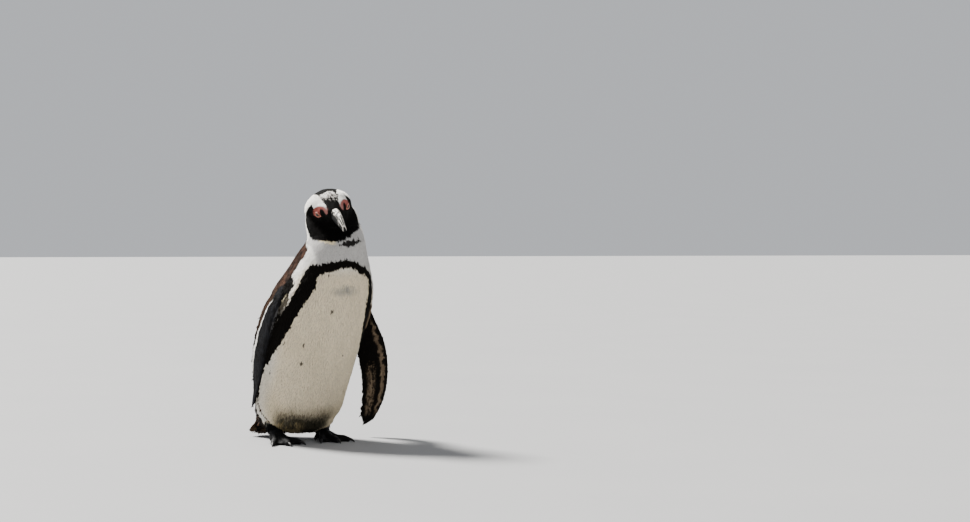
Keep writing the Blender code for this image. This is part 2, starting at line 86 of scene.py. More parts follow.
def centreLine(points, low, high, count):
    # heights, then x and y of the middle of the slices through some points
    heights = np.linspace(low, high, count)
    middles = []
    for height in heights:
        near = points[np.abs(points[:, 2] - height) < (high - low) / count * 0.6]
        middles.append((near.min(0) + near.max(0)) / 2)
    middles = np.array(middles)
    return heights, middles[:, 0], middles[:, 1]


# heights, then x and y of the line that angles round the body are measured from
bodyLine = (np.linspace(0.03, 0.33, 16),
            np.array([-0.0362, -0.0351, -0.0346, -0.0336, -0.0313, -0.0288, -0.0273, -0.0251, -0.0215,
                      -0.0175, -0.0134, -0.007, -0.0049, -0.0031, -0.0022, -0.0012]),
            np.array([0.0468, 0.0388, 0.032, 0.0243, 0.0165, 0.0084, 0.0004, -0.0057, -0.0117, -0.0176,
                      -0.0214, -0.0272, -0.0312, -0.035, -0.0374, -0.0396]))


def lineAt(line, height):
    return np.interp(height, line[0], line[1]), np.interp(height, line[0], line[2])


def bodyAngle(points):
    # degrees round the body: 0 at the breast bone, plus to the bird's left, minus to its right
    x, y = lineAt(bodyLine, points[:, 2])
    return np.degrees(np.arctan2(points[:, 0] - x, -(points[:, 1] - y)))


# small tools for arrays

def smoothStep(value, low, high):
    share = np.clip((value - low) / (high - low), 0, 1)
    return share * share * (3 - 2 * share)


def fade(value, low, high):
    # 1 below low, 0 above high
    return 1 - smoothStep(value, low, high)


def between(value, *borders):
    # four rising borders: 0 before the first and after the last, 1 between the middle two
    return smoothStep(value, *borders[:2]) * fade(value, *borders[2:])


def unit(vectors):
    vectors = np.asarray(vectors, float)
    return vectors / np.maximum(np.linalg.norm(vectors, axis=-1, keepdims=True), 1e-12)


def dots(a, b):
    return (a * b).sum(-1)


def noiseAt(points, size, seed=0):
    # smooth noise from -1 to 1, with cells of the given size
    spots = np.asarray(points) / size
    base = np.floor(spots).astype(np.int64)
    part = spots - base
    part = part * part * (3 - 2 * part)
    total = np.zeros(len(spots))
    for corner in range(8):
        step = np.array([corner & 1, corner >> 1 & 1, corner >> 2 & 1])
        cell = base + step
        mixed = cell[:, 0] * 73856093 ^ cell[:, 1] * 19349663 ^ cell[:, 2] * 83492791 ^ seed * 2654435
        mixed = (mixed ^ mixed >> 13) * 1274126177 & 0x7FFFFFFF
        value = (mixed ^ mixed >> 16) % 65536 / 32767.5 - 1
        total += value * np.prod(np.where(step, part, 1 - part), axis=1)
    return total


def meshRows(items, field, width, kind=float):
    rows = np.empty(len(items) * width, kind)
    items.foreach_get(field, rows)
    return rows.reshape(-1, width)


def setVertices(mesh, rows):
    mesh.vertices.foreach_set("co", np.ascontiguousarray(rows, np.float32).ravel())
    mesh.update()


def relaxed(values, edges, share=0.5, rounds=1):
    # each value drawn towards the mean of its neighbours along the edges
    ends = np.concatenate([edges, edges[:, ::-1]])
    count = np.maximum(np.bincount(ends[:, 0], minlength=len(values)), 1)[:, None]
    flat = np.array(values, float).reshape(len(values), -1)
    for _ in range(rounds):
        sums = [np.bincount(ends[:, 0], flat[ends[:, 1], i], len(flat)) for i in range(flat.shape[1])]
        flat = flat + share * (np.stack(sums, axis=1) / count - flat)
    return flat.reshape(np.shape(values))


def keepValues(mesh, name, values, kind="FLOAT", domain="POINT"):
    # writes one value, vector or colour for each element of the mesh
    layer = mesh.attributes.get(name) or mesh.attributes.new(name, kind, domain)
    values = np.asarray(values, np.float32)
    if kind == "FLOAT_COLOR":
        values = np.concatenate([values, np.ones((len(values), 1), np.float32)], axis=1)
    field = {"FLOAT": "value", "INT": "value", "FLOAT_COLOR": "color"}.get(kind, "vector")
    layer.data.foreach_set(field, values.ravel())


def newObject(name, mesh, material=None):
    made = bpy.data.objects.new(name, mesh)
    bpy.context.scene.collection.objects.link(made)
    if material is not None:
        mesh.materials.append(material)
    return made


def evaluated(made):
    # the object's mesh with its modifiers applied, and the object gone
    bpy.context.view_layer.update()
    graph = bpy.context.evaluated_depsgraph_get()
    mesh = bpy.data.meshes.new_from_object(made.evaluated_get(graph), preserve_all_data_layers=True,
                                           depsgraph=graph)
    bpy.data.objects.remove(made)
    return mesh


def linear(red, green, blue):
    # a screen colour, 0 to 255, as linear light
    parts = np.array([red, green, blue]) / 255
    return np.where(parts < 0.04045, parts / 12.92, ((parts + 0.055) / 1.055) ** 2.4)


# the skin

skinBuild = {"grow": 0.00045, "voxel": 0.0014, "smoothing": 12, "kept": 0.42, "eyeReach": 0.0135}
coatDepth = {"head": 0.0006, "neck": 0.0011, "trunk": 0.0013, "tail": 0.0009, "flipper_left": 0.0004,
             "flipper_right": 0.0004, "leg_left": 0.001, "leg_right": 0.001, "foot_left": 0.0001,
             "foot_right": 0.0001}


def mergedCopy(names, grow):
    # the nodes' loose triangles joined up again, each solid grown a little so that thin cuts close
    work = bmesh.new()
    for name in names:
        single = bmesh.new()
        single.from_mesh(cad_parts[name].data)
        bmesh.ops.remove_doubles(single, verts=single.verts, dist=0.00001)
        single.normal_update()
        for vertex, shift in [(v, v.normal * grow) for v in single.verts]:
            vertex.co += shift
        passing = bpy.data.meshes.new("passing")
        single.to_mesh(passing)
        work.from_mesh(passing)
        bpy.data.meshes.remove(passing)
        single.free()
    mesh = bpy.data.meshes.new("flesh")
    work.to_mesh(mesh)
    work.free()
    return mesh


def shareOf(shares, *names):
    return sum(shares[:, fleshNodes.index(name)] for name in names)


def nearestNode(points):
    # for each point, the number in fleshNodes of the node whose surface is nearest
    rows, faces, owners = [], [], []
    for number, name in enumerate(fleshNodes):
        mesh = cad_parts[name].data
        start = len(rows)
        rows.extend(v.co for v in mesh.vertices)
        faces.extend([start + i for i in p.vertices] for p in mesh.polygons)
        owners.extend([number] * len(mesh.polygons))
    tree = BVHTree.FromPolygons(rows, faces)
    return np.array(owners)[[tree.find_nearest(Vector(p))[2] for p in points]]


def regionShares(points, edges, rounds=6):
    # how far each point belongs to each flesh node, softened over the borders
    owner = nearestNode(points)
    return relaxed(np.eye(len(fleshNodes))[owner], edges, 0.6, rounds)


def skinShape():
    lump = newObject("lump", mergedCopy(fleshNodes + ["eye_left", "eye_right"], skinBuild["grow"]))
    remesh = lump.modifiers.new("even", "REMESH")
    remesh.mode = "VOXEL"
    remesh.voxel_size = skinBuild["voxel"]
    mesh = evaluated(lump)
    edges = meshRows(mesh.edges, "vertices", 2, np.int32)
    rows = meshRows(mesh.vertices, "co", 3)
    for _ in range(skinBuild["smoothing"]):  # smooths without shrinking
        rows = relaxed(rows, edges, 0.55)
        rows = relaxed(rows, edges, -0.57)
    setVertices(mesh, rows)
    return mesh


def thinned(mesh):
    # fewer faces on the body, where feathers cover the skin, and all of them on the face and feet
    made = newObject("skin_passing", mesh)
    shares = regionShares(meshRows(mesh.vertices, "co", 3), meshRows(mesh.edges, "vertices", 2, np.int32), 3)
    fine = shareOf(shares, "head", "foot_left", "foot_right")
    group = made.vertex_groups.new(name="coarse")
    for index in np.nonzero(fine < 0.5)[0].tolist():
        group.add([index], 1.0, "REPLACE")
    less = made.modifiers.new("less", "DECIMATE")
    less.ratio = skinBuild["kept"]
    less.vertex_group = "coarse"
    return evaluated(made)


def refinedNearEyes(mesh):
    work = bmesh.new()
    work.from_mesh(mesh)
    middles = [nodeMiddle("eye_left"), nodeMiddle("eye_right")]
    for reach in (skinBuild["eyeReach"], skinBuild["eyeReach"] * 0.85):
        edges = {e for e in work.edges
                 if min((v.co - m).length for m in middles for v in e.verts) < reach}
        bmesh.ops.subdivide_edges(work, edges=list(edges), cuts=1, use_grid_fill=True)
    bmesh.ops.triangulate(work, faces=work.faces)
    work.to_mesh(mesh)
    work.free()
    return mesh


eyeShape = {"radius": 0.0066, "aside": 0.8, "ahead": 0.58, "down": 0.05, "slant": 30.0,
            "halfLength": 0.84, "halfHeight": 0.42, "lid": 0.0008, "bulge": 0.00022, "rings": 40,
            "round": 48}


def eyeAxes(side):
    # outward, ahead and up for one eye, in the head's own axes
    outward = unit([side * eyeShape["aside"], -eyeShape["ahead"], -eyeShape["down"]])
    ahead = unit(np.array([0, -1, 0]) - outward * -outward[1])
    up = np.cross(outward, ahead) * -side
    turn = math.radians(eyeShape["slant"])
    return outward, ahead * math.cos(turn) - up * math.sin(turn), ahead * math.sin(turn) + up * math.cos(turn)


def eyeMiddleLocal(side):
    return toHead(np.array([nodeMiddle("eye_left" if side > 0 else "eye_right")]))[0]


def lidDistance(local, side):
    # metres outside the opening between the lids, along the eyeball, and metres from the eye's centre
    outward, ahead, up = eyeAxes(side)
    away = local - eyeMiddleLocal(side)
    reach = np.linalg.norm(away, axis=1)
    aim = away / reach[:, None]
    across = np.arctan2(aim @ ahead, aim @ outward)
    over = np.arctan2(aim @ up, aim @ outward)
    size = np.hypot(across / eyeShape["halfLength"], over / eyeShape["halfHeight"])
    turned = np.hypot(across, over)
    return (1 - 1 / np.maximum(size, 0.05)) * turned * eyeShape["radius"], reach


def lidded(mesh):
    # the skin pushed under the eyeball inside the opening, and raised into lids round it
    rows = meshRows(mesh.vertices, "co", 3)
    local = toHead(rows)
    ball, lid = eyeShape["radius"], eyeShape["lid"]
    for side in (1, -1):
        gap, reach = lidDistance(local, side)
        middle = eyeMiddleLocal(side)
        near = (reach < 0.0125) & (local[:, 0] * side > 0.01)
        target = np.interp(gap, [-0.003, -0.0005, -0.0001, 0.0002, 0.0008, 0.0014, 0.0019, 0.0024, 0.0034],
                           [ball - 0.0012, ball - 0.0005, ball + 0.0001, ball + lid * 0.8, ball + lid,
                            ball + lid * 0.85, ball + lid * 0.35, ball, ball + lid * 0.1])
        share = fade(gap, 0.0022, 0.004) * near
        aim = (local - middle) / reach[:, None]
        local = local + share[:, None] * (middle + aim * target[:, None] - local)
    setVertices(mesh, fromHead(local))
    return mesh


# markings: what colour the bird is at any place on it

pinkOutline = np.array([  # bare skin over the eye, seen from the side: metres ahead of the eye and above it
    (-0.0056, 0.002), (-0.0052, 0.007), (-0.0032, 0.0104), (0.0014, 0.0124), (0.007, 0.0136),
    (0.0125, 0.013), (0.0176, 0.0112), (0.0224, 0.0082), (0.0238, 0.004), (0.0216, 0.0012),
    (0.019, 0.0036), (0.0156, 0.0068), (0.0122, 0.0087), (0.0094, 0.0094), (0.008, 0.0068),
    (0.0084, 0.002), (0.0074, -0.0026), (0.003, -0.0048), (-0.0016, -0.005), (-0.0048, -0.002)])
cheekOutline = np.array([  # black of the face and throat, the same way
    (-0.0046, 0.0078), (-0.0104, 0.0149), (-0.0122, 0.0117), (-0.0144, 0.0084), (-0.0176, 0.0042),
    (-0.0214, 0.0003), (-0.0225, -0.0045), (-0.0215, -0.0092), (-0.0195, -0.0175), (-0.0155, -0.024),
    (-0.0112, -0.0318), (-0.004, -0.0404), (0.004, -0.041), (0.014, -0.0418), (0.024, -0.0408),
    (0.03, -0.042), (0.036, -0.045), (0.08, -0.061), (0.08, 0.004), (0.025, 0.004),
    (0.016, 0.0105), (0.004, 0.01)])
# borders of the markings, as places along each and then where it lies: metres, or degrees round the body
crownAhead = ([-0.026, -0.016, -0.002, 0.0052, 0.0114, 0.017, 0.024],
              [0.0195, 0.0162, 0.0136, 0.0129, 0.0104, 0.0103, 0.0126])
# the next border is the edge of the painted shade on the throat, not of a marking
throatShadeEdge = ([0.275, 0.2814, 0.2876, 0.2971, 0.3065, 0.3152, 0.319],
              [-50, -45, -43.2, -46.5, -55.1, -67.4, -95])
throatTop = ([-14, -11, -8.8, -5.5, -1.8, 1.5, 6, 9.6, 15, 22.8, 25, 30, 33, 37, 40, 44],
             [0.316, 0.3185, 0.3195, 0.318, 0.3228, 0.321, 0.3258, 0.3232, 0.3246, 0.327, 0.3225,
              0.3262, 0.3235, 0.3284, 0.324, 0.3262])
throatFoot = ([-14, -11, -8.8, -5.5, 0, 5, 9.6, 14, 18, 21.7, 25, 27.2, 33, 38, 42, 44],
              [0.3172, 0.3165, 0.316, 0.314, 0.316, 0.3135, 0.313, 0.316, 0.3152, 0.3166, 0.3192,
               0.3188, 0.3218, 0.3226, 0.3222, 0.325])
napeHigh = ([-0.04, -0.03, -0.015, 0.0, 0.015, 0.026], [0.038, 0.034, 0.028, 0.024, 0.02, 0.0173])
backEdge = ([0.03, 0.0465, 0.0625, 0.08, 0.1, 0.15, 0.18, 0.205, 0.212, 0.2237, 0.2309, 0.2365, 0.2412,
             0.2465, 0.2545, 0.262, 0.2665, 0.268, 0.2733, 0.278, 0.2843, 0.2911, 0.2978, 0.309, 0.314,
             0.3192, 0.33, 0.345, 0.36],
            [94, 95, 97, 97, 95, 97, 93, 82, 72, 63.8, 64, 65.5, 67.3, 66.6, 65.8, 70, 76, 79, 78, 76.5,
             77, 75.5, 71.2, 71.3, 80, 96, 118, 130, 140])
brownEdge = ([0.15, 0.2, 0.237, 0.2465, 0.2541, 0.262, 0.268, 0.272], [108, 98, 88, 86, 85, 81, 79, 70])
# the next border is the edge of the painted olive shade under the right flipper
shadeOliveEdge = ([0.211, 0.218, 0.2285, 0.236, 0.2412], [75, 74.5, 71.0, 68.6, 67.3])
bandTop = ([-60, -53, -31, -7, 6, 19, 44, 52, 60],
           [0.272, 0.284, 0.2876, 0.2923, 0.2939, 0.2906, 0.2809, 0.273, 0.262])
bandFoot = ([-46, -41, -33, -16, 2, 17, 28, 42, 51, 56],
            [0.244, 0.264, 0.272, 0.2766, 0.2813, 0.2796, 0.2716, 0.2666, 0.26, 0.244])
bandOuter = ([0.03, 0.0385, 0.0465, 0.0545, 0.0625, 0.08, 0.1, 0.126, 0.148, 0.176, 0.205, 0.2151, 0.2247,
              0.2342, 0.2468, 0.2545, 0.264, 0.284],
             [62, 72, 80.5, 86, 89.5, 89.5, 89, 88, 86, 78, 70.5, 66.3, 61.6, 60.3, 59.3, 57.8, 59.5, 53])
bandInner = ([0.03, 0.0385, 0.0465, 0.0545, 0.0625, 0.08, 0.1, 0.126, 0.13, 0.148, 0.161, 0.176, 0.201,
              0.225, 0.244, 0.264, 0.284],
             [59, 69, 77, 82, 85.5, 85, 84, 78, 72.5, 67, 58, 55.5, 48.4, 43, 38, 39, 46])
bandInnerLeft = ([0.184, 0.2, 0.212, 0.225, 0.245, 0.262, 0.284], [51, 49.2, 47.6, 46.6, 46.4, 48.0, 44])
threadLine = ([0.117, 0.133, 0.1425, 0.163, 0.18], [82.1, 80.1, 78.6, 76.7, 77])
streakLine = ([0.226, 0.2323, 0.24], [72.8, 71.4, 70.3])
scruffRear = ([-0.0157, -0.009, -0.0023, 0.0064, 0.0146, 0.0208],
              [-0.01, -0.0079, -0.0068, -0.0095, -0.0122, -0.0133])
# freckles: degrees round the body, height and radius
freckles = [(-23, 0.269, 0.002), (-6, 0.2105, 0.0026), (-30, 0.159, 0.0026), (-28, 0.1296, 0.0025),
            (-54.5, 0.162, 0.0024), (-72, 0.1275, 0.0022), (-79, 0.113, 0.0022), (-67, 0.114, 0.0024),
            (42, 0.187, 0.0014), (-44, 0.1335, 0.0012), (24, 0.142, 0.0012)]
screenTones = {
    "black": (17, 15, 13), "mask": (9, 8, 7), "back": (42, 35, 32), "shoulder": (90, 63, 50),
    "cream": (232, 218, 190), "white": (240, 238, 232), "throatShade": (184, 182, 180), "stain": (212, 196, 160),
    "greySpot": (138, 138, 134), "soil": (56, 53, 43), "soilEdge": (128, 118, 96), "fringe": (150, 134, 100),
    "freckle": (44, 36, 31), "bandFoot": (58, 42, 32), "thread": (150, 140, 112), "shadeOlive": (92, 86, 75),
    "streak": (216, 204, 172), "lit": (255, 238, 196), "pink": (146, 76, 68), "pinkDeep": (84, 34, 33),
    "pinkPale": (156, 112, 106), "lidRing": (184, 122, 106), "scruff": (236, 231, 224),
    "scruffDim": (64, 58, 56), "footSkin": (8, 8, 9), "flipperBack": (33, 34, 38),
    "flipperEdge": (104, 103, 104), "tan": (134, 116, 95), "rump": (84, 62, 48), "rumpFoot": (92, 76, 58),
    "leg": (186, 180, 166), "horn": (9, 9, 10), "hornPale": (236, 230, 220), "claw": (10, 10, 10),
    "clawPale": (28, 26, 25)}
tones = {name: linear(*parts) for name, parts in screenTones.items()}


def insideBy(outline, x, y):
    # metres inside an outline, minus outside it
    inside = np.zeros(len(x), bool)
    nearest = np.full(len(x), 1e9)
    for (x0, y0), (x1, y1) in zip(outline, np.roll(outline, -1, axis=0)):
        crosses = (y0 > y) != (y1 > y)
        slope = (x1 - x0) / (y1 - y0) if y1 != y0 else 0.0
        inside ^= crosses & (x < x0 + (y - y0) * slope)
        run = np.clip(((x - x0) * (x1 - x0) + (y - y0) * (y1 - y0)) / ((x1 - x0) ** 2 + (y1 - y0) ** 2), 0, 1)
        nearest = np.minimum(nearest, np.hypot(x - x0 - run * (x1 - x0), y - y0 - run * (y1 - y0)))
    return np.where(inside, nearest, -nearest)


def mixed(base, tone, share):
    share = np.clip(share, 0, 1)[:, None]
    return base * (1 - share) + np.asarray(tone) * share


def layered(colour, *layers):
    # one tone after another over a colour, each with the share that it covers
    for tone, share in layers:
        colour = mixed(colour, tones[tone], share)
    return colour


def flipperPlace(points, side):
    # share from shoulder to tip, and share from leading to trailing edge
    name = "flipper_left" if side > 0 else "flipper_right"
    low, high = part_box(name)
    solid = flipperSolids[name]
    leading = flipperLeading[name]
    down = np.clip((high.z - points[:, 2]) / (high.z - low.z), 0, 1)
    ahead = points[:, 0] * leading[0] + points[:, 1] * leading[1]
    front = np.interp(points[:, 2], solid[0], solid[1])
    rear = np.interp(points[:, 2], solid[0], solid[2])
    return down, (front - ahead) / np.maximum(front - rear, 0.001)


flipperLeading = {"flipper_left": unit([0.9, -0.44]), "flipper_right": unit([-0.03, -1.0])}


def flipperEdges(name):
    # heights, then how far ahead the leading and the trailing edge lie
    points = nodePoints(name)
    ahead = points[:, :2] @ flipperLeading[name]
    heights = np.linspace(points[:, 2].min() + 0.003, points[:, 2].max() - 0.003, 24)
    front, rear = [], []
    for height in heights:
        near = ahead[np.abs(points[:, 2] - height) < 0.007]
        front.append(near.max())
        rear.append(near.min())
    return heights, np.array(front), np.array(rear)


flipperSolids = {name: flipperEdges(name) for name in flipperLeading}


def cheekInside(local):
    # metres inside the black of the face, which reaches lower on the bird's left
    aside, ahead, high = local[:, 0], -local[:, 1], local[:, 2]
    low = smoothStep(-high, 0.01, 0.03)
    rear = 0.07 * aside * low + 0.005 * smoothStep(aside, 0.005, 0.015) * smoothStep(-high, -0.004, 0.004)
    lower = np.where(aside > 0, 0.035, 0.125) * aside * low
    return insideBy(cheekOutline, ahead + rear, high + lower)


def bodyGrain(points):
    # uneven edges in metres, then clumps, grain and streaks from -1 to 1
    ragged = noiseAt(points, 0.0035, 3) * 0.0011 + noiseAt(points, 0.0012, 4) * 0.0009
    clumps = noiseAt(points * [1, 1, 0.4], 0.0042, 6)
    grain = noiseAt(points * [1, 1, 0.3], 0.01, 5)
    streaks = noiseAt(points * [1, 1, 0.18], 0.0038, 7)
    return ragged, clumps, grain, streaks


def frontTone(points, places, grains):
    # cream and white, with painted shade of the head over the throat, stained and soiled below with a warmer
    # fringe
    angle, across, height = places
    ragged, clumps, grain, streaks = grains
    colour = mixed(tones["cream"], tones["white"],
                   smoothStep(height, 0.26, 0.3) + smoothStep(across, 50, 75) * 0.8)
    colour = colour * (1 + 0.045 * grain + 0.035 * streaks)[:, None]
    # painted shade of the head over the throat, ending at an edge on the bird's right
    throatShade = smoothStep(height - np.interp(angle, *bandFoot), 0.0, 0.003)
    throatShade = throatShade * smoothStep(angle - np.interp(height, *throatShadeEdge), -5, 3)
    stained = smoothStep(noiseAt(points * [1, 1, 0.5], 0.045, 8), -0.2, 0.6)
    # a soft grey spot on the breast below the band
    greySpot = np.hypot((angle - 5) * 0.00074, (height - 0.244) * 1.5 + 0.003 * clumps) / 0.02
    low = height + noiseAt(points * [1, 1, 0.2], 0.003, 9) * 0.005
    low = low + noiseAt(points * [1, 1, 0.4], 0.011, 35) * 0.0035
    wide = fade(np.abs(angle + 9), 32, 52)
    colour = layered(colour, ("throatShade", 0.85 * throatShade * fade(angle, 60, 80)),
                     ("stain", 0.55 * stained * fade(height, 0.1, 0.2)),
                     ("greySpot", (0.72 + 0.25 * streaks) * fade(greySpot, 0.0, 1)),
                     ("soilEdge", fade(low, 0.036, 0.066) * wide * 0.7),
                     ("soil", fade(low, 0.031, 0.05) * wide),
                     ("fringe", fade(low, 0.026, 0.034) * fade(angle, -20, -2) * 0.9))
    # the throat's broken bar and the freckles
    teeth = noiseAt(points * [1, 1, 0.3], 0.0022, 11) * 0.0016
    bar = np.minimum(np.interp(angle, *throatTop) - height, height - np.interp(angle, *throatFoot)) + teeth
    bar = np.where((angle > -11) & (angle < 44), bar, -1)
    colour = mixed(colour, tones["black"], smoothStep(bar, -0.0002, 0.0003) * 0.97)
    for turn, high, size in freckles:
        far = np.hypot(np.radians(angle - turn) * 0.075, height - high)
        colour = mixed(colour, tones["freckle"], fade(far + ragged * 0.3, size - 0.0008, size) * 0.85)
    return colour


def bandShare(points, places, grains):
    # the band over the breast and down the flanks
    angle, across, height = places
    ragged, clumps = grains[:2]
    spikes = np.abs(noiseAt(points * [1, 1, 0.2], 0.0026, 63)) * 0.0042 - 0.0008
    over = np.minimum(np.interp(angle, *bandTop) - height + clumps * 0.0014 + spikes,
                      height - np.interp(angle, *bandFoot) + spikes * 0.5)
    over = np.where(across < 57, over, -1)
    innerEdge = np.where((angle > 0) & (height > 0.184), np.interp(height, *bandInnerLeft),
                         np.interp(height, *bandInner))
    inner = np.radians(across - innerEdge) * 0.078 + clumps * 0.0022 + spikes * 0.7
    leg = np.minimum(inner, np.radians(np.interp(height, *bandOuter) - across) * 0.078)
    leg = np.where(height < np.where(angle > 0, 0.27, 0.286), leg, -1)
    return smoothStep(np.maximum(over, leg) + ragged, -0.0002, 0.0002)


def flankMarks(colour, points, places, grains):
    # on the right the pale stripe behind the band is darkened by painted shade under the flipper, dark olive and
    # then black, and a thin line comes out
    angle, across, height = places
    onRight = angle < -50
    stripe = smoothStep(across - np.interp(height, *bandOuter), -2, 1)
    # painted shade of the flipper over the stripe: dark olive, then black where it is deepest
    flipperShade = onRight * between(height, 0.12, 0.135, 0.214, 0.226)
    colour = mixed(colour, tones["shadeOlive"] * 0.5, flipperShade * stripe * 0.9)
    deepFlipperShade = onRight * between(height, 0.12, 0.135, 0.207, 0.213)
    thread = fade(np.abs(across - np.interp(height, *threadLine)), 0.3, 1.1) * onRight
    colour = layered(colour, ("black", deepFlipperShade * stripe),
                     ("thread", thread * between(height, 0.112, 0.12, 0.172, 0.182) * 0.85))
    band = mixed(tones["bandFoot"], tones["black"], smoothStep(height, 0.06, 0.08))
    colour = mixed(colour, band, bandShare(points, places, grains))
    armpit = between(angle, 60, 66, 72, 78) * between(height, 0.18, 0.19, 0.222, 0.23)
    return mixed(colour, tones["tan"] * 0.8, armpit)


def backTone(points, places, grains, edge):
    # browner where it is worn, with a black wedge at the shoulder and painted olive shade under the right
    # flipper
    angle, across, height = places
    ragged, _, grain, streaks = grains
    onRight = angle < -50
    patchy = 0.55 + 0.45 * grain + 0.35 * noiseAt(points, 0.0045, 10)
    wedge = fade(across + 1000 * ragged - np.interp(height, *brownEdge), -2, 1)
    colour = layered(
        tones["back"], ("shoulder", between(height, 0.19, 0.235, 0.305, 0.35) * patchy),
        ("black", smoothStep(height + 0.008 * grain, 0.322, 0.35)),
        ("black", 0.4 * smoothStep(noiseAt(points, 0.009, 12), -0.2, 0.5)),
        ("black", 0.55 * smoothStep(noiseAt(points * [1, 1, 0.6], 0.0032, 39), -0.05, 0.45)),
        ("black", wedge * between(height, 0.2, 0.21, 0.266, 0.27)))
    # painted shade under the right flipper: olive between the pale stripe and the black
    shadeOlive = fade(across - np.interp(height, *shadeOliveEdge), -0.6, 0.8) * onRight
    shadeOlive = shadeOlive * between(height, 0.2095, 0.22, 0.2395, 0.242)
    colour = mixed(colour, tones["shadeOlive"] * (1 + 0.3 * streaks)[:, None], shadeOlive * 0.9)
    streak = across - np.interp(height, *streakLine)
    gap = between(streak, -3.4, -2.6, -1.2, -0.6) * onRight * between(height, 0.2275, 0.23, 0.2395, 0.242)
    thin = fade(np.abs(streak), 0.5, 1.1) * onRight * between(height, 0.2245, 0.229, 0.2385, 0.2415)
    speckled = fade(edge, 0.0008, 0.0026) * smoothStep(noiseAt(points, 0.0026, 38), -0.2, 0.3)
    return layered(colour, ("black", gap * 0.9), ("streak", thin * 0.95),
                   ("black", speckled * (height > 0.262) * 0.9))


def bodyTone(points):
    # trunk and neck
    angle = bodyAngle(points)
    height = points[:, 2]
    across = np.abs(angle)
    places = (angle, across, height)
    grains = bodyGrain(points)
    ragged = grains[0]
    colour = flankMarks(frontTone(points, places, grains), points, places, grains)
    behind = np.interp(height, *backEdge)
    behind = np.where((angle > 0) & (height > 0.3), np.minimum(behind, 84), behind)
    edge = np.radians(across - behind) * 0.07 + ragged
    colour = mixed(colour, backTone(points, places, grains, edge), smoothStep(edge, -0.0002, 0.0002))
    cheek = np.where(height > 0.29, cheekInside(toHead(points)), -1)
    lit = smoothStep(cheek, -0.0024, -0.0016) * between(angle, -58, -48, -22, -14)
    return layered(colour, ("lit", lit * 0.8), ("mask", smoothStep(cheek + ragged * 0.6, -0.0002, 0.0002)))


def headTone(points):
    local = toHead(points)
    aside = np.abs(local[:, 0])
    ahead, high = -local[:, 1], local[:, 2]
    ragged = noiseAt(points, 0.0025, 13) * 0.0008 + noiseAt(points, 0.001, 14) * 0.0005
    crown = np.interp(ahead, *crownAhead)
    crown = crown + (np.interp(high, *napeHigh) - 0.0173) * smoothStep(-ahead, 0.012, 0.026)
    top = (high > 0) | (ahead < -0.02)
    onTop = np.where(top, crown - aside + ragged, -1)
    black = np.maximum(cheekInside(local), onTop) + ragged
    colour = mixed(tones["white"], tones["mask"], smoothStep(black, -0.0002, 0.0002))
    # pale worn feathers over the forehead, mottled
    scruffy = np.hypot((local[:, 0] + 0.0015) / 0.0175, (ahead - 0.3 * local[:, 0] + 0.001) / 0.015)
    flecks = noiseAt(points, 0.0022, 15) * 0.7 + noiseAt(points, 0.0011, 17) * 0.6
    patchy = smoothStep(flecks - scruffy * 1.7 + 1.3, -0.05, 0.4) * (high > 0.01)
    patchy = patchy * smoothStep(ahead - np.interp(local[:, 0], *scruffRear) + ragged, 0.0, 0.001)
    dim = smoothStep(70 * (ahead - 0.002) - flecks * 1.6, -0.1, 0.4)
    worn = mixed(tones["scruff"], tones["scruffDim"], dim)
    colour = mixed(colour, worn, patchy * 0.92)
    # bare skin: darker at its rim and behind, paler in front
    pink = insideBy(pinkOutline, ahead, high) + ragged * 0.5
    pink = np.where(aside > 0.007, pink, -1)
    mottle = noiseAt(points, 0.0013, 18)
    skin = layered(tones["pink"], ("pinkDeep", fade(pink, 0.0002, 0.0018) * 0.65 + 0.25 * mottle),
                   ("pinkPale", smoothStep(ahead, 0.006, 0.022) * (0.6 + 0.3 * mottle)))
    soft = np.where(high > 0.0085, 0.0011, 0.0003)
    colour = mixed(colour, skin, smoothStep(pink / soft, -1, 1))
    for side in (1, -1):
        gap, reach = lidDistance(local, side)
        near = (local[:, 0] * side > 0.012) & (reach < 0.0092)
        ring = between(gap, -0.0003, 0.0, 0.001, 0.0015) * near
        forward = smoothStep((local - eyeMiddleLocal(side)) @ eyeAxes(side)[1], 0.0025, 0.005)
        pale = tones["lidRing"] * (1 + 0.25 * forward)[:, None] * (1 + 0.12 * mottle)[:, None]
        colour = mixed(colour, pale, ring)
        groove = between(gap, 0.0015, 0.002, 0.0024, 0.0032) * near
        colour = mixed(colour, tones["pinkDeep"], groove * 0.6)
    return colour


def bareFace(points):
    # metres inside the face's bare skin, minus outside it
    local = toHead(points)
    pink = insideBy(pinkOutline, -local[:, 1], local[:, 2])
    pink = np.where(np.abs(local[:, 0]) > 0.007, pink, -0.02)
    for side in (1, -1):
        gap, reach = lidDistance(local, side)
        gap = np.where((local[:, 0] * side > 0.01) & (reach < 0.011), gap, 0.02)
        pink = np.maximum(pink, 0.0016 - gap)
    return pink


# share from shoulder to tip, then how far behind the leading edge the white line lies and how wide it is
whiteLine = ([0.13, 0.16, 0.19, 0.27, 0.34, 0.41, 0.49, 0.53, 0.6, 0.7],
             [0.36, 0.45, 0.54, 0.57, 0.63, 0.74, 0.72, 0.8, 0.83, 0.9])
whiteWidth = ([0.12, 0.27, 0.41, 0.49, 0.6, 0.75], [0.028, 0.036, 0.05, 0.085, 0.09, 0.05])


def flipperOuter(down, behind, ragged, grain):
    # blue-black, a little lighter than black as painted sheen, with a white line near the trailing edge and
    # black and brown beyond it
    wide = np.interp(down, *whiteWidth)
    off = behind + ragged * 0.3 - np.interp(down, *whiteLine)
    beyond = smoothStep(off, wide, wide + 0.03)
    line = fade(np.abs(off) - wide, -0.012, 0.012) * between(down, 0.12, 0.15, 0.7, 0.78)
    return layered(tones["flipperBack"], ("black", 0.5 + 0.5 * grain), ("black", beyond),
                   ("rump", beyond * (0.45 + 0.5 * grain) * fade(down, 0.3, 0.45)), ("white", line * 0.96))


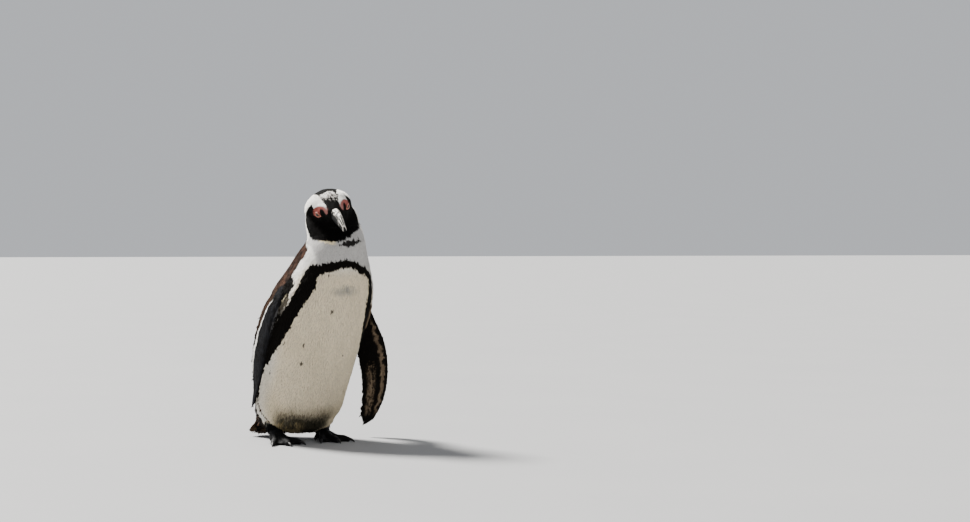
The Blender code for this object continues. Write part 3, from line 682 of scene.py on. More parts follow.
def flipperUnder(points, down, behind, ragged, grain):
    # black, with a tan line behind the leading edge and a mottled tan patch
    stripe = fade(np.abs(behind + ragged - 0.2), 0.04, 0.09) * between(down, 0.1, 0.2, 0.84, 0.94)
    patch = smoothStep(down + ragged, 0.5, 0.58) * fade(np.abs(behind - 0.62 + ragged), 0.1, 0.2)
    patch = patch * fade(down, 0.86, 0.95) * np.clip(0.7 + 0.5 * grain + ragged * 4, 0, 1)
    patch = patch * smoothStep(np.abs(behind - 0.56 + ragged * 0.5), 0.008, 0.03)
    patch = patch * (0.25 + 0.75 * smoothStep(noiseAt(points * [1, 1, 0.7], 0.0026, 65), -0.35, 0.1))
    return mixed(tones["black"], tones["tan"], np.maximum(stripe * (0.72 + 0.35 * grain), patch))


def flipperTone(points, normals, side):
    down, behind = flipperPlace(points, side)
    leading = flipperLeading["flipper_left" if side > 0 else "flipper_right"]
    outer = normals[:, :2] @ (np.array([-leading[1], leading[0]]) * side)
    ragged = noiseAt(points, 0.003, 21) * 0.05 + noiseAt(points, 0.0012, 22) * 0.04
    grain = noiseAt(points * [1, 1, 0.4], 0.003, 23)
    whole = mixed(flipperUnder(points, down, behind, ragged, grain),
                  flipperOuter(down, behind, ragged, grain), smoothStep(outer, -0.2, 0.2))
    lead = fade(np.abs(outer - 0.1), 0.12, 0.34) * (behind < 0.14) * between(down, 0.12, 0.18, 0.34, 0.42)
    return mixed(whole, tones["flipperEdge"], lead * (0.5 + 0.35 * grain))


tailBorder = ([0.016, 0.029, 0.041, 0.05, 0.062],  # heights, then metres across
              [-0.1143, -0.1152, -0.116, -0.1153, -0.1131])


def tailTone(points):
    # brown and black, with the flank's pale feathers over the side of the root and tan below them
    high = points[:, 2]
    aside = 0.8988 * points[:, 0] - 0.4384 * points[:, 1]
    off = aside - np.interp(high, *tailBorder) + noiseAt(points, 0.002, 36) * 0.0006
    flank = layered(tones["rump"], ("cream", smoothStep(off, 0.0, 0.0006)),
                    ("rump", smoothStep(off, 0.0085, 0.0095)))
    flanked = smoothStep(off, -0.0004, 0.0004) * smoothStep(high, 0.029, 0.034)
    colour = mixed(tones["black"], tones["rump"], smoothStep(noiseAt(points, 0.012, 31), -0.1, 0.5))
    colour = mixed(colour, flank, flanked * fade(points[:, 1], 0.108, 0.111))
    tan = between(high, 0.004, 0.008, 0.018, 0.024) * smoothStep(noiseAt(points, 0.006, 37), -0.1, 0.4)
    return mixed(colour, tones["rumpFoot"], tan * 0.7)


def legTone(points):
    grain = noiseAt(points * [1, 1, 0.3], 0.004, 34)
    pale = tones["leg"] * (1 + 0.1 * noiseAt(points, 0.006, 33))[:, None]
    pale = mixed(pale, tones["soil"], 0.8 * smoothStep(grain, -0.1, 0.5))
    bareBelow = np.where(points[:, 0] < -0.03, 0.0285, 0.036)  # the right leg is feathered further down
    feathered = smoothStep(points[:, 2] + 0.003 * grain - bareBelow, -0.001, 0.002)
    return mixed(tones["footSkin"], pale, feathered)


def coatTone(points, normals, shares):
    # colour at each place, from what each part of the body has there
    parts = [headTone(points), bodyTone(points), tailTone(points), flipperTone(points, normals, 1),
             flipperTone(points, normals, -1), legTone(points), np.tile(tones["footSkin"], (len(points), 1))]
    ofNode = np.array([0, 1, 1, 2, 3, 4, 5, 5, 6, 6])
    picked = ofNode[np.argmax(shares, axis=1)]
    return np.choose(picked[:, None], parts)


# how the feathers lie

def lieAt(points, normals, shares):
    local = toHead(points)
    back = unit(local - np.array([0, -0.03, 0.0])) + [0, 0.7, 0]
    back = back + np.array([0, 0, -1]) * smoothStep(local[:, 1], 0.0, 0.04)[:, None]
    head = unit(back) @ headAxes.T
    slopeX = np.interp(points[:, 2], bodyLine[0], np.gradient(bodyLine[1], bodyLine[0]))
    slopeY = np.interp(points[:, 2], bodyLine[0], np.gradient(bodyLine[2], bodyLine[0]))
    body = unit(np.stack([-slopeX, -slopeY, -np.ones(len(points))], axis=1))
    body = unit(body + np.array([0, 0.9, 0]) * np.clip(-normals[:, 2:], 0, 1))
    rear = unit(nodeMiddle("tail") - Vector((nodeMiddle("trunk").x, 0.05, 0.09)))
    flippers = []
    for name in ("flipper_left", "flipper_right"):
        line = flipperMiddles[name]
        x = np.interp(points[:, 2], line[0], np.gradient(line[1], line[0]))
        y = np.interp(points[:, 2], line[0], np.gradient(line[2], line[0]))
        lead = flipperLeading[name]
        run = [-x - 0.35 * lead[0], -y - 0.35 * lead[1], -np.ones(len(points))]
        flippers.append(unit(np.stack(run, axis=1)))
    down = np.array([0.0, -0.3, -1.0])
    fields = [head, body, body, rear, *flippers, down, down, down, down]
    return sum(field * shares[:, i:i + 1] for i, field in enumerate(fields))


flipperMiddles = {name: centreLine(nodePoints(name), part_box(name)[0].z + 0.012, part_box(name)[1].z - 0.012, 9)
                  for name in ("flipper_left", "flipper_right")}


def tangent(vectors, normals):
    return unit(vectors - normals * dots(vectors, normals)[:, None])


def buildSkin():
    mesh = lidded(refinedNearEyes(thinned(skinShape())))
    edges = meshRows(mesh.edges, "vertices", 2, np.int32)
    rows = meshRows(mesh.vertices, "co", 3)
    shares = regionShares(rows, edges, 5)
    depth = shares @ np.array([coatDepth[name] for name in fleshNodes])
    bare = bareFace(rows)
    depth = depth * (1 - smoothStep(bare, -0.003, 0.0) * (shares[:, 0] > 0.3))
    depth = relaxed(depth, edges, 0.6, 4)
    normals = meshRows(mesh.vertex_normals, "vector", 3)
    setVertices(mesh, rows - normals * depth[:, None])
    return mesh, edges, shares


skinMesh, skinEdges, skinShares = buildSkin()
skinRows = meshRows(skinMesh.vertices, "co", 3)
skinNormals = meshRows(skinMesh.vertex_normals, "vector", 3)
print("skin", len(skinMesh.vertices), "vertices", len(skinMesh.polygons), "faces")


def unwrapSkin(mesh):
    # an unwrap by the skin's own shape, which the feathers' patches are laid on
    made = newObject("unwrap_passing", mesh)
    bpy.context.view_layer.objects.active = made
    made.select_set(True)
    bpy.ops.object.mode_set(mode="EDIT")
    bpy.ops.mesh.select_all(action="SELECT")
    bpy.ops.uv.smart_project(angle_limit=math.radians(66), island_margin=0.004)
    bpy.ops.object.mode_set(mode="OBJECT")
    mesh.uv_layers[0].name = "OFBake"
    bpy.data.objects.remove(made)


unwrapSkin(skinMesh)
skinLie = relaxed(unit(lieAt(skinRows, skinNormals, skinShares)), skinEdges, 0.6, 25)
skinLie = tangent(skinLie, skinNormals)
skinLie = tangent(relaxed(skinLie, skinEdges, 0.6, 12), skinNormals)
skinBare = bareFace(skinRows)
keepValues(skinMesh, "lie", skinLie, "FLOAT_VECTOR")
keepValues(skinMesh, "up", skinNormals, "FLOAT_VECTOR")
keepValues(skinMesh, "coatColor", coatTone(skinRows, skinNormals, skinShares), "FLOAT_COLOR")
keepValues(skinMesh, "bareShare", smoothStep(skinBare, -0.0006, 0.0004) * (skinShares[:, 0] > 0.3))
keepValues(skinMesh, "footShare", smoothStep(shareOf(skinShares, "foot_left", "foot_right"), 0.3, 0.7))


# node trees

def operatorPair(operation):
    # an operator and its reflected form
    return (lambda wire, other: wire.maths(operation, wire, other),
            lambda wire, other: wire.maths(operation, other, wire))


class Wire:
    # a socket that can be added, multiplied and so on, each making a Math node
    def __init__(self, net, socket):
        self.net = net
        self.socket = socket

    def maths(self, operation, first, second):
        return self.net.node("ShaderNodeMath", {"operation": operation}, {0: first, 1: second})

    __add__, __radd__ = operatorPair("ADD")
    __sub__, __rsub__ = operatorPair("SUBTRACT")
    __mul__, __rmul__ = operatorPair("MULTIPLY")
    __truediv__, __rtruediv__ = operatorPair("DIVIDE")


class Net:
    # writes one node tree
    def __init__(self, tree):
        self.tree = tree
        self.tree.nodes.clear()

    def node(self, kind, settings=None, values=None, output=0):
        made = self.tree.nodes.new(kind)
        for name, value in (settings or {}).items():
            if name == "stops":
                self.setStops(made.color_ramp, value)
            else:
                setattr(made, name, value)
        for name, value in (values or {}).items():
            self.feed(made.inputs[name], value)
        return Wire(self, made.outputs[output]) if len(made.outputs) else made

    def scaled(self, vector, share):
        return self.node("ShaderNodeVectorMath", {"operation": "SCALE"}, {0: vector, "Scale": share})

    def feed(self, socket, value):
        if isinstance(value, Wire):
            self.tree.links.new(value.socket, socket)
        elif socket.type == "RGBA":
            socket.default_value = (*value[:3], 1.0)
        else:
            socket.default_value = value

    def setStops(self, ramp, stops):
        while len(ramp.elements) < len(stops):
            ramp.elements.new(0.5)
        for element, (place, shade) in zip(ramp.elements, stops):
            element.position = place
            element.color = (shade, shade, shade, 1.0) if isinstance(shade, float) else (*shade, 1.0)

    def output(self, wire, name):
        return Wire(self, wire.socket.node.outputs[name])

    def input(self, name):
        return self.output(self.source, name)

    def mixColours(self, share, first, second):
        return self.node("ShaderNodeMix", {"data_type": "RGBA"}, {0: share, 6: first, 7: second}, 2)


class Finish(Net):
    # one material
    def __init__(self, name, constants=None):
        self.material = bpy.data.materials.new(name)
        self.material.use_nodes = True
        super().__init__(self.material.node_tree)
        self.shader = self.node("ShaderNodeBsdfPrincipled", None, constants).socket.node
        self.node("ShaderNodeOutputMaterial", None, {"Surface": Wire(self, self.shader.outputs[0])})

    def place(self):
        return self.output(self.node("ShaderNodeTexCoord"), "Object")

    def attribute(self, name, output="Fac"):
        return self.output(self.node("ShaderNodeAttribute", {"attribute_name": name}), output)

    def noise(self, place, scale, detail=2.0, rough=0.5):
        return self.node("ShaderNodeTexNoise", None, {"Vector": place, "Scale": scale, "Detail": detail,
                                                      "Roughness": rough})

    def ramp(self, value, *stops):
        return self.node("ShaderNodeValToRGB", {"stops": stops}, {"Fac": value})

    def bump(self, height, strength, distance):
        return self.node("ShaderNodeBump", None, {"Height": height, "Strength": strength,
                                                  "Distance": distance})

    def wear(self, **wires):
        names = {"color": "Base Color", "roughness": "Roughness", "normal": "Normal"}
        for name, wire in wires.items():
            self.feed(self.shader.inputs[names[name]], wire)
        return self.material


# materials

coatFinish = {"darkRough": 0.66, "lightRough": 0.78, "rootShade": 0.8, "tipShade": 1.06, "vary": 0.08}


def plumageFinish():
    made = Finish("plumage", {"Specular IOR Level": 0.02})
    colour = made.attribute("coatColor", "Color")
    along = made.attribute("along")
    tone = made.attribute("vaneTone")
    bright = made.node("ShaderNodeRGBToBW", None, {"Color": colour})
    grain = made.noise(made.place(), 900.0, 1.0)
    # each feather darker at its root and lighter at its tip: partly painted shade where the feathers overlap,
    # partly the downy base's own colour
    shade = coatFinish["rootShade"] + along * (coatFinish["tipShade"] - coatFinish["rootShade"])
    shade = shade * (1.0 + tone * coatFinish["vary"]) * (0.94 + grain * 0.12)
    tinted = made.scaled(colour, shade)
    rough = coatFinish["darkRough"] + bright * (coatFinish["lightRough"] - coatFinish["darkRough"])
    return made.wear(color=tinted, roughness=rough)


def skinFinish():
    made = Finish("skin", {"Specular IOR Level": 0.1})
    place = made.place()
    colour = made.attribute("coatColor", "Color")
    foot = made.attribute("footShare")
    bare = made.attribute("bareShare")
    fine = made.noise(place, 420.0, 3.0)
    broad = made.noise(place, 90.0, 3.0)
    cells = made.node("ShaderNodeTexVoronoi", {"feature": "DISTANCE_TO_EDGE"},
                      {"Vector": place, "Scale": 620.0})
    scale = made.ramp(cells, (0.0, 0.0), (0.09, 1.0))
    shade = 0.86 + broad * 0.28 - bare * fine * 0.1
    tinted = made.scaled(colour, shade)
    height = scale * foot * 0.6 + fine * (0.2 + bare * 0.5)
    rough = 0.62 - foot * 0.06 - bare * 0.14 + fine * 0.1
    return made.wear(color=tinted, roughness=rough, normal=made.bump(height, 0.7, 0.0004))


plumage = plumageFinish()
skinCover = skinFinish()


# feathers, laid over the skin by geometry nodes

def outwardMesh(name, points, faces, triangles=False):
    # a mesh of these points and faces, every face turned outwards
    mesh = bpy.data.meshes.new(name)
    mesh.from_pydata(points, [], faces)
    work = bmesh.new()
    work.from_mesh(mesh)
    bmesh.ops.recalc_face_normals(work, faces=work.faces)
    if triangles:
        bmesh.ops.triangulate(work, faces=work.faces)
    work.to_mesh(mesh)
    work.free()
    mesh.shade_smooth()
    return mesh


def vaneMesh(name, rows, bend):
    # a closed feather blade along +X: rows of (share along, half width, ridge height)
    points = [(0.0, 0.0, 0.0)]
    for along, half, ridge in rows:
        drop = -bend * along * along
        points += [(along, -half, drop), (along, 0.0, drop + ridge), (along, half, drop)]
    points.append((1.0, 0.0, -bend))
    faces = [(0, 1, 2), (0, 2, 3), (0, 3, 1)]
    for ring in range(len(rows) - 1):
        a = 1 + ring * 3
        for i, j in ((0, 1), (1, 2), (2, 0)):
            faces.append((a + i, a + i + 3, a + j + 3, a + j))
    last, tip = 1 + (len(rows) - 1) * 3, len(points) - 1
    faces += [(last, tip, last + 1), (last + 1, tip, last + 2), (last + 2, tip, last)]
    mesh = outwardMesh(name, points, faces, True)
    keepValues(mesh, "along", [p[0] for p in points])
    keepValues(mesh, "patch", [(p[0] - 0.5, p[1] * 0.9, 0.0) for p in points], "FLOAT_VECTOR")
    return mesh


def newGeometryTree(name, inputs):
    tree = bpy.data.node_groups.new(name, "GeometryNodeTree")
    tree.interface.new_socket("Geometry", in_out="INPUT", socket_type="NodeSocketGeometry")
    for label, kind, value in inputs:
        socket = tree.interface.new_socket(label, in_out="INPUT", socket_type=kind)
        if value is not None:
            socket.default_value = value
    tree.interface.new_socket("Geometry", in_out="OUTPUT", socket_type="NodeSocketGeometry")
    net = Net(tree)
    net.source = net.node("NodeGroupInput")
    return tree, net


def passThrough(made, tree, values):
    # gives the object the tree as a modifier, its inputs set by identifier, and returns the mesh it makes
    modifier = made.modifiers.new(tree.name, "NODES")
    modifier.node_group = tree
    for item in tree.interface.items_tree:
        if item.item_type == "SOCKET" and item.in_out == "INPUT" and item.name in values:
            modifier[item.identifier] = values[item.name]
    return evaluated(made)


def namedField(net, kind, name):
    return net.node("GeometryNodeInputNamedAttribute", {"data_type": kind}, {"Name": name})


def scatterTree():
    # evenly spaced roots over the part of the skin that is asked for
    tree, net = newGeometryTree("feather roots", [
        ("Spacing", "NodeSocketFloat", 0.002), ("Crowding", "NodeSocketFloat", 5.0),
        ("Seed", "NodeSocketInt", 1)])
    spacing = net.input("Spacing")
    most = net.input("Crowding") / (spacing * spacing)
    points = net.node("GeometryNodeDistributePointsOnFaces", {"distribute_method": "POISSON"}, {
        "Mesh": net.input("Geometry"), "Distance Min": spacing, "Density Max": most,
        "Density Factor": namedField(net, "FLOAT", "wanted"), "Seed": net.input("Seed")})
    roots = net.node("GeometryNodePointsToVertices", None, {"Points": points})
    net.node("NodeGroupOutput", None, {"Geometry": roots})
    return tree


def vaneTree():
    # one feather on each root, turned along the lie and lifted off the skin
    tree, net = newGeometryTree("feathers laid", [
        ("Feather", "NodeSocketObject", None), ("Material", "NodeSocketMaterial", None),
        ("Yaw", "NodeSocketFloat", 0.16), ("Roll", "NodeSocketFloat", 0.14),
        ("Pitch", "NodeSocketFloat", 0.05), ("Patch", "NodeSocketFloat", 0.003),
        ("Seed", "NodeSocketInt", 1)])
    seed = net.input("Seed")

    def spread(limit, extra):
        low = net.input(limit) * -1.0
        return net.output(net.node("FunctionNodeRandomValue", {"data_type": "FLOAT"}, {
            2: low, 3: net.input(limit), 8: seed + float(extra)}), 1)

    roots = net.input("Geometry")
    tone = net.node("FunctionNodeRandomValue", {"data_type": "FLOAT"}, {2: -1.0, 3: 1.0, 8: seed})
    roots = net.node("GeometryNodeStoreNamedAttribute", {"data_type": "FLOAT", "domain": "POINT"}, {
        "Geometry": roots, "Name": "vaneTone", "Value": net.output(tone, 1)})
    base = net.node("FunctionNodeAxesToRotation", {"primary_axis": "X", "secondary_axis": "Z"}, {
        "Primary Axis": namedField(net, "FLOAT_VECTOR", "lie"),
        "Secondary Axis": namedField(net, "FLOAT_VECTOR", "up")})
    pitch = spread("Pitch", 3) - namedField(net, "FLOAT", "lift")
    turn = net.node("ShaderNodeCombineXYZ", None, {"X": spread("Roll", 1), "Y": pitch, "Z": spread("Yaw", 2)})
    turned = net.node("FunctionNodeRotateRotation", {"rotation_space": "LOCAL"}, {
        "Rotation": base, "Rotate By": net.node("FunctionNodeEulerToRotation", None, {"Euler": turn})})
    shape = net.node("GeometryNodeObjectInfo", {"transform_space": "ORIGINAL"},
                     {"Object": net.input("Feather")})
    laid = net.node("GeometryNodeInstanceOnPoints", None, {
        "Points": roots, "Instance": net.output(shape, "Geometry"), "Rotation": turned,
        "Scale": namedField(net, "FLOAT_VECTOR", "vaneSize")})
    real = net.node("GeometryNodeRealizeInstances", None, {"Geometry": laid})
    spot = net.scaled(namedField(net, "FLOAT_VECTOR", "patch"), net.input("Patch"))
    spot = net.node("ShaderNodeVectorMath", {"operation": "ADD"},
                    {0: spot, 1: namedField(net, "FLOAT_VECTOR", "spot")})
    mapped = net.node("GeometryNodeStoreNamedAttribute", {"data_type": "FLOAT2", "domain": "CORNER"}, {
        "Geometry": real, "Name": "OFBake", "Value": spot})
    done = net.node("GeometryNodeSetMaterial", None, {
        "Geometry": mapped, "Material": net.input("Material")})
    net.node("NodeGroupOutput", None, {"Geometry": done})
    return tree


rootsTree = scatterTree()
laidTree = vaneTree()
vanes = {"body": vaneMesh("body vane", [(0.28, 0.4, 0.05), (0.62, 0.5, 0.04), (0.88, 0.3, 0.022)], 0.1),
         "small": vaneMesh("small vane", [(0.35, 0.46, 0.05), (0.8, 0.4, 0.03)], 0.08)}
vaneObjects = {name: newObject("pattern_" + name, mesh) for name, mesh in vanes.items()}


def featherRoots(wanted, spacing, seed):
    # places on the skin, with the direction out, the lie and the place on the unwrap
    keepValues(skinMesh, "wanted", wanted)
    mesh = passThrough(newObject("roots_passing", skinMesh), rootsTree, {"Spacing": spacing, "Seed": seed})
    read = {"place": meshRows(mesh.vertices, "co", 3)}
    for name in ("lie", "up"):
        read[name] = unit(meshRows(mesh.attributes[name].data, "vector", 3))
    read["spot"] = meshRows(mesh.attributes["OFBake"].data, "vector", 2)
    bpy.data.meshes.remove(mesh)
    return read


def varied(value, places, share, size, seed):
    # a value made larger and smaller from place to place
    return value * (1 + share * noiseAt(places, size, seed))


def seenTone(roots, length, share):
    # the colour at the place where a feather shows, a little further along some than others
    share = share + 0.28 * noiseAt(roots["place"], 0.0008, 60)
    seen = roots["place"] + roots["lie"] * (length * share)[:, None]
    return coatTone(seen, roots["up"], np.eye(len(fleshNodes))[nearestNode(roots["place"])])


def coatPiece(name, roots, picked, values, kind="body", spreads=(0.16, 0.14, 0.05), seed=1):
    # one piece of plumage: the picked roots' feathers, with their length, width, lift and colour
    length, width, lift, colour = values
    size = np.stack([length, width * np.ones(len(length)), length], axis=1)
    mesh = bpy.data.meshes.new(name + "_roots")
    mesh.from_pydata(roots["place"][picked].tolist(), [], [])
    spot = np.concatenate([roots["spot"], np.zeros((len(length), 1))], axis=1)
    for label, rows in (("lie", roots["lie"]), ("up", roots["up"]), ("spot", spot), ("vaneSize", size)):
        keepValues(mesh, label, rows[picked], "FLOAT_VECTOR")
    keepValues(mesh, "lift", (lift * np.ones(len(length)))[picked])
    keepValues(mesh, "coatColor", colour[picked], "FLOAT_COLOR")
    laid = passThrough(newObject("laying", mesh), laidTree, {
        "Feather": vaneObjects[kind], "Material": plumage, "Yaw": spreads[0], "Roll": spreads[1],
        "Pitch": spreads[2], "Seed": seed})
    laid.name = name
    for extra in ("patch", "spot", "lift", "vaneSize", "lie", "up", "wanted"):
        if extra in laid.attributes:
            laid.attributes.remove(laid.attributes[extra])
    made = newObject(name, laid)
    print(name, int(picked.sum()), "feathers", len(laid.polygons), "faces")
    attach(made, "root")
    return made


bodyCoat = {"spacing": 0.00175, "frontLength": 0.0068, "backLength": 0.0066, "frontWidth": 0.0022,
            "backWidth": 0.0024, "lift": 0.26, "backLift": 0.17, "look": 0.7, "fringe": 0.65,
            "rump": 0.9, "armpit": 0.8, "sway": 0.1, "rumpLift": 0.16, "underLift": 0.6}


def layBody():
    coat = bodyCoat
    wanted = shareOf(skinShares, "trunk", "leg_left", "leg_right") > 0.5
    roots = featherRoots(wanted, coat["spacing"], 11)
    places = roots["place"]
    angle = bodyAngle(places)
    across = np.abs(angle)
    high = places[:, 2]
    rear = smoothStep(across, 70, 105)
    fringe = between(high, 0.016, 0.022, 0.03, 0.044)
    rump = smoothStep(across, 84, 98) * between(high, 0.02, 0.035, 0.075, 0.1)
    armpit = between(angle, 58, 66, 92, 100) * between(high, 0.188, 0.196, 0.224, 0.236)
    longer = 1 + coat["fringe"] * fringe + coat["rump"] * rump + coat["armpit"] * armpit
    length = coat["frontLength"] + rear * (coat["backLength"] - coat["frontLength"])
    length = varied(length, places, 0.12, 0.004, 41) * longer
    width = coat["frontWidth"] + rear * (coat["backWidth"] - coat["frontWidth"])
    width = varied(width, places, 0.1, 0.003, 42)
    sway = noiseAt(places, 0.016, 43) * coat["sway"]
    roots["lie"] = unit(roots["lie"] + np.cross(roots["up"], roots["lie"]) * sway[:, None])
    under = smoothStep(-roots["up"][:, 2], 0.35, 0.85) * fade(high, 0.034, 0.042)
    lift = coat["lift"] + rear * (coat["backLift"] - coat["lift"])
    lift = varied(lift, places, 0.15, 0.006, 44) + coat["rumpLift"] * rump + coat["underLift"] * under
    colour = seenTone(roots, length, coat["look"])
    colour = colour * (1 + rear * 0.22 * noiseAt(places, 0.0011, 52))[:, None]
    parts = {"plumage_breast": (across < 50) & (high > 0.165),
             "plumage_belly": (across < 50) & (high <= 0.165),
             "plumage_side_left": (angle >= 50) & (angle < 125),
             "plumage_side_right": (angle <= -50) & (angle > -125),
             "plumage_back": across >= 125}
    return [coatPiece(name, roots, picked, (length, width, lift, colour), seed=20 + i)
            for i, (name, picked) in enumerate(parts.items())]


neckCoat = {"spacing": 0.00135, "length": 0.0052, "width": 0.0018, "lift": 0.26, "look": 0.7}


def layNeck():
    coat = neckCoat
    roots = featherRoots(shareOf(skinShares, "neck") > 0.5, coat["spacing"], 12)
    places = roots["place"]
    length = varied(coat["length"], places, 0.12, 0.003, 45)
    width = varied(coat["width"], places, 0.1, 0.003, 46)
    values = (length, width, coat["lift"], seenTone(roots, length, coat["look"]))
    front = np.abs(bodyAngle(places)) < 88
    return [coatPiece("plumage_neck_front", roots, front, values, seed=31),
            coatPiece("plumage_neck_back", roots, ~front, values, seed=32)]


headCoat = {"spacing": 0.001, "length": 0.0034, "faceLength": 0.0016, "width": 0.0012,
            "faceWidth": 0.0008, "lift": 0.24, "scruffLift": 0.25, "look": 0.6}


def layHead():
    coat = headCoat
    wanted = (shareOf(skinShares, "head") > 0.5) & (skinBare < -0.0002)
    roots = featherRoots(wanted, coat["spacing"], 13)
    places = roots["place"]
    local = toHead(places)
    bill = np.linalg.norm(local - np.array([0, -0.034, 0.0]), axis=1)
    far = smoothStep(np.minimum(bill - 0.006, -bareFace(places) * 1.6), 0.0, 0.022)
    length = coat["faceLength"] + far * (coat["length"] - coat["faceLength"])
    length = varied(length, places, 0.12, 0.002, 47)
    width = coat["faceWidth"] + far * (coat["width"] - coat["faceWidth"])
    scruffy = fade(np.hypot(local[:, 0] / 0.012, (local[:, 1] - 0.001) / 0.018), 0.5, 1)
    scruffy = scruffy * (local[:, 2] > 0.01)
    lift = coat["lift"] + coat["scruffLift"] * scruffy * np.clip(noiseAt(places, 0.002, 48) + 0.3, 0, 1)
    values = (length, width, lift, seenTone(roots, length, coat["look"]))
    front = local[:, 1] < 0.006
    return [coatPiece("plumage_face", roots, front, values, "small", seed=33),
            coatPiece("plumage_crown", roots, ~front, values, "small", seed=34)]


flipperCoat = {"spacing": 0.0013, "length": 0.003, "width": 0.0015, "lift": 0.17, "look": 0.5,
               "spreads": (0.1, 0.1, 0.03)}


def layFlipper(name, side, seed):
    coat = flipperCoat
    roots = featherRoots(shareOf(skinShares, name) > 0.5, coat["spacing"], 14)
    places = roots["place"]
    down, behind = flipperPlace(places, side)
    longer = 1 + 0.9 * smoothStep(behind, 0.78, 0.98) + 0.5 * fade(down, 0.1, 0.35)
    length = varied(coat["length"] * longer, places, 0.1, 0.002, 49)
    width = coat["width"] * (1 + 0.25 * (longer - 1))
    values = (length, width, coat["lift"], seenTone(roots, length, coat["look"]))
    return coatPiece("plumage_" + name, roots, np.ones(len(places), bool), values, "small",
                     coat["spreads"], seed)


tailCoat = {"spacing": 0.0022, "length": 0.0105, "width": 0.0034, "lift": 0.16, "look": 0.5}


def layTailCoverts():
    coat = tailCoat
    wanted = (shareOf(skinShares, "tail") > 0.5) & (skinRows[:, 2] > 0.014)
    roots = featherRoots(wanted, coat["spacing"], 15)
    places = roots["place"]
    length = varied(coat["length"], places, 0.15, 0.004, 50)
    lift = np.minimum(coat["lift"], (places[:, 2] - 0.001) / length)
    values = (length, coat["width"], lift, seenTone(roots, length, coat["look"]))
    return coatPiece("plumage_tail", roots, np.ones(len(places), bool), values, seed=51)


skinPiece = newObject("skin", skinMesh, skinCover)
skinMesh.shade_smooth()
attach(skinPiece, "root")
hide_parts(*fleshNodes)
layBody()
layNeck()
layHead()
layFlipper("flipper_left", 1, 39)
layFlipper("flipper_right", -1, 40)
layTailCoverts()
for pattern in vaneObjects.values():
    bpy.data.objects.remove(pattern)


# curved solids

def curveRows(rows, steps):
    # smooth rows through the given ones, evenly spaced along the first column's order
    rows = np.array(rows, float)
    padded = np.concatenate([[2 * rows[0] - rows[1]], rows, [2 * rows[-1] - rows[-2]]])
    made = []
    for t in np.linspace(0, len(rows) - 1, steps):
        i = min(int(t), len(rows) - 2)
        s = t - i
        a, b, c, d = padded[i:i + 4]
        made.append(0.5 * (2 * b + (c - a) * s + (2 * a - 5 * b + 4 * c - d) * s * s
                           + (3 * b - 3 * c + d - a) * s ** 3))
    return np.array(made)


def lofted(name, rings, material):
    # a closed skin over rings of points, with a point at the middle of each end
    count = len(rings[0])
    points = np.concatenate(list(rings) + [[rings[0].mean(0)], [rings[-1].mean(0)]])
    faces = []
    for r in range(len(rings) - 1):
        for i in range(count):
            j = (i + 1) % count
            faces.append((r * count + i, r * count + j, (r + 1) * count + j, (r + 1) * count + i))
    first, last = len(points) - 2, len(points) - 1
    end = (len(rings) - 1) * count
    for i in range(count):
        j = (i + 1) % count
        faces.append((first, j, i))
        faces.append((last, end + i, end + j))
    return newObject(name, outwardMesh(name, points.tolist(), faces), material)


# tail quills

tailQuills = {"count": 14, "spread": 27.0, "half": 0.0046, "thick": 0.0007, "arch": 0.0035, "steps": 9,
              "drop": 0.003, "sideDrop": 0.0044, "sideShorter": 0.13}


def quillRings(turn, drop, reach):
    # one stiff feather from the tail's root to the floor, turned a little to one side
    low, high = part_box("tail")
    root = np.array([(low.x + high.x) / 2 + 0.003, low.y + 0.004, high.z - 0.006])
    end = np.array([(low.x + high.x) / 2 - 0.004, high.y - 0.002, 0.0016])
    run = unit(end - root)
    aside = unit(np.cross([0, 0, 1], run))
    way = run * math.cos(turn) + aside * math.sin(turn)
    up = unit(np.cross(way, np.cross([0, 0, 1], way)))
    across = np.cross(up, way)
    length = np.linalg.norm(end - root) * reach
    rings = []
    for share in np.linspace(0, 1, tailQuills["steps"]):
        taper = (0.45 + 0.55 * math.sin(math.pi * min(share * 1.15, 1.0) ** 0.8)) * (1.02 - share ** 6)
        rise = drop + tailQuills["arch"] * math.sin(math.pi * share)
        middle = root + way * (0.25 + 0.75 * share) * length + up * rise
        wide = across * tailQuills["half"] * taper
        rings.append([middle + wide * math.cos(a) + up * tailQuills["thick"] * math.sin(a)
                      for a in np.linspace(0, 2 * math.pi, 9)[:-1]])
    rings = np.array(rings)
    rings[:, :, 2] = np.maximum(rings[:, :, 2], 0.0004)
    return rings


def buildTailQuills():
    count = tailQuills["count"]
    for number in range(count):
        side = 2 * number / (count - 1) - 1
        drop = tailQuills["drop"] - tailQuills["sideDrop"] * abs(side)
        reach = 1.0 - tailQuills["sideShorter"] * side ** 2
        rings = quillRings(math.radians(tailQuills["spread"]) * side, drop, reach)
        piece = lofted(f"tail_quill_{number + 1}", rings, plumage)
        rows = meshRows(piece.data.vertices, "co", 3)
        keepValues(piece.data, "along", np.full(len(rows), 0.7))
        keepValues(piece.data, "vaneTone", np.full(len(rows), math.sin(number * 2.7)))
        shade = mixed(tones["black"], tones["rump"], 0.5 + 0.5 * noiseAt(rows, 0.008, 71))
        keepValues(piece.data, "coatColor", shade, "FLOAT_COLOR")
        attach(piece, "root")


buildTailQuills()
print("tail quills made")


# bill

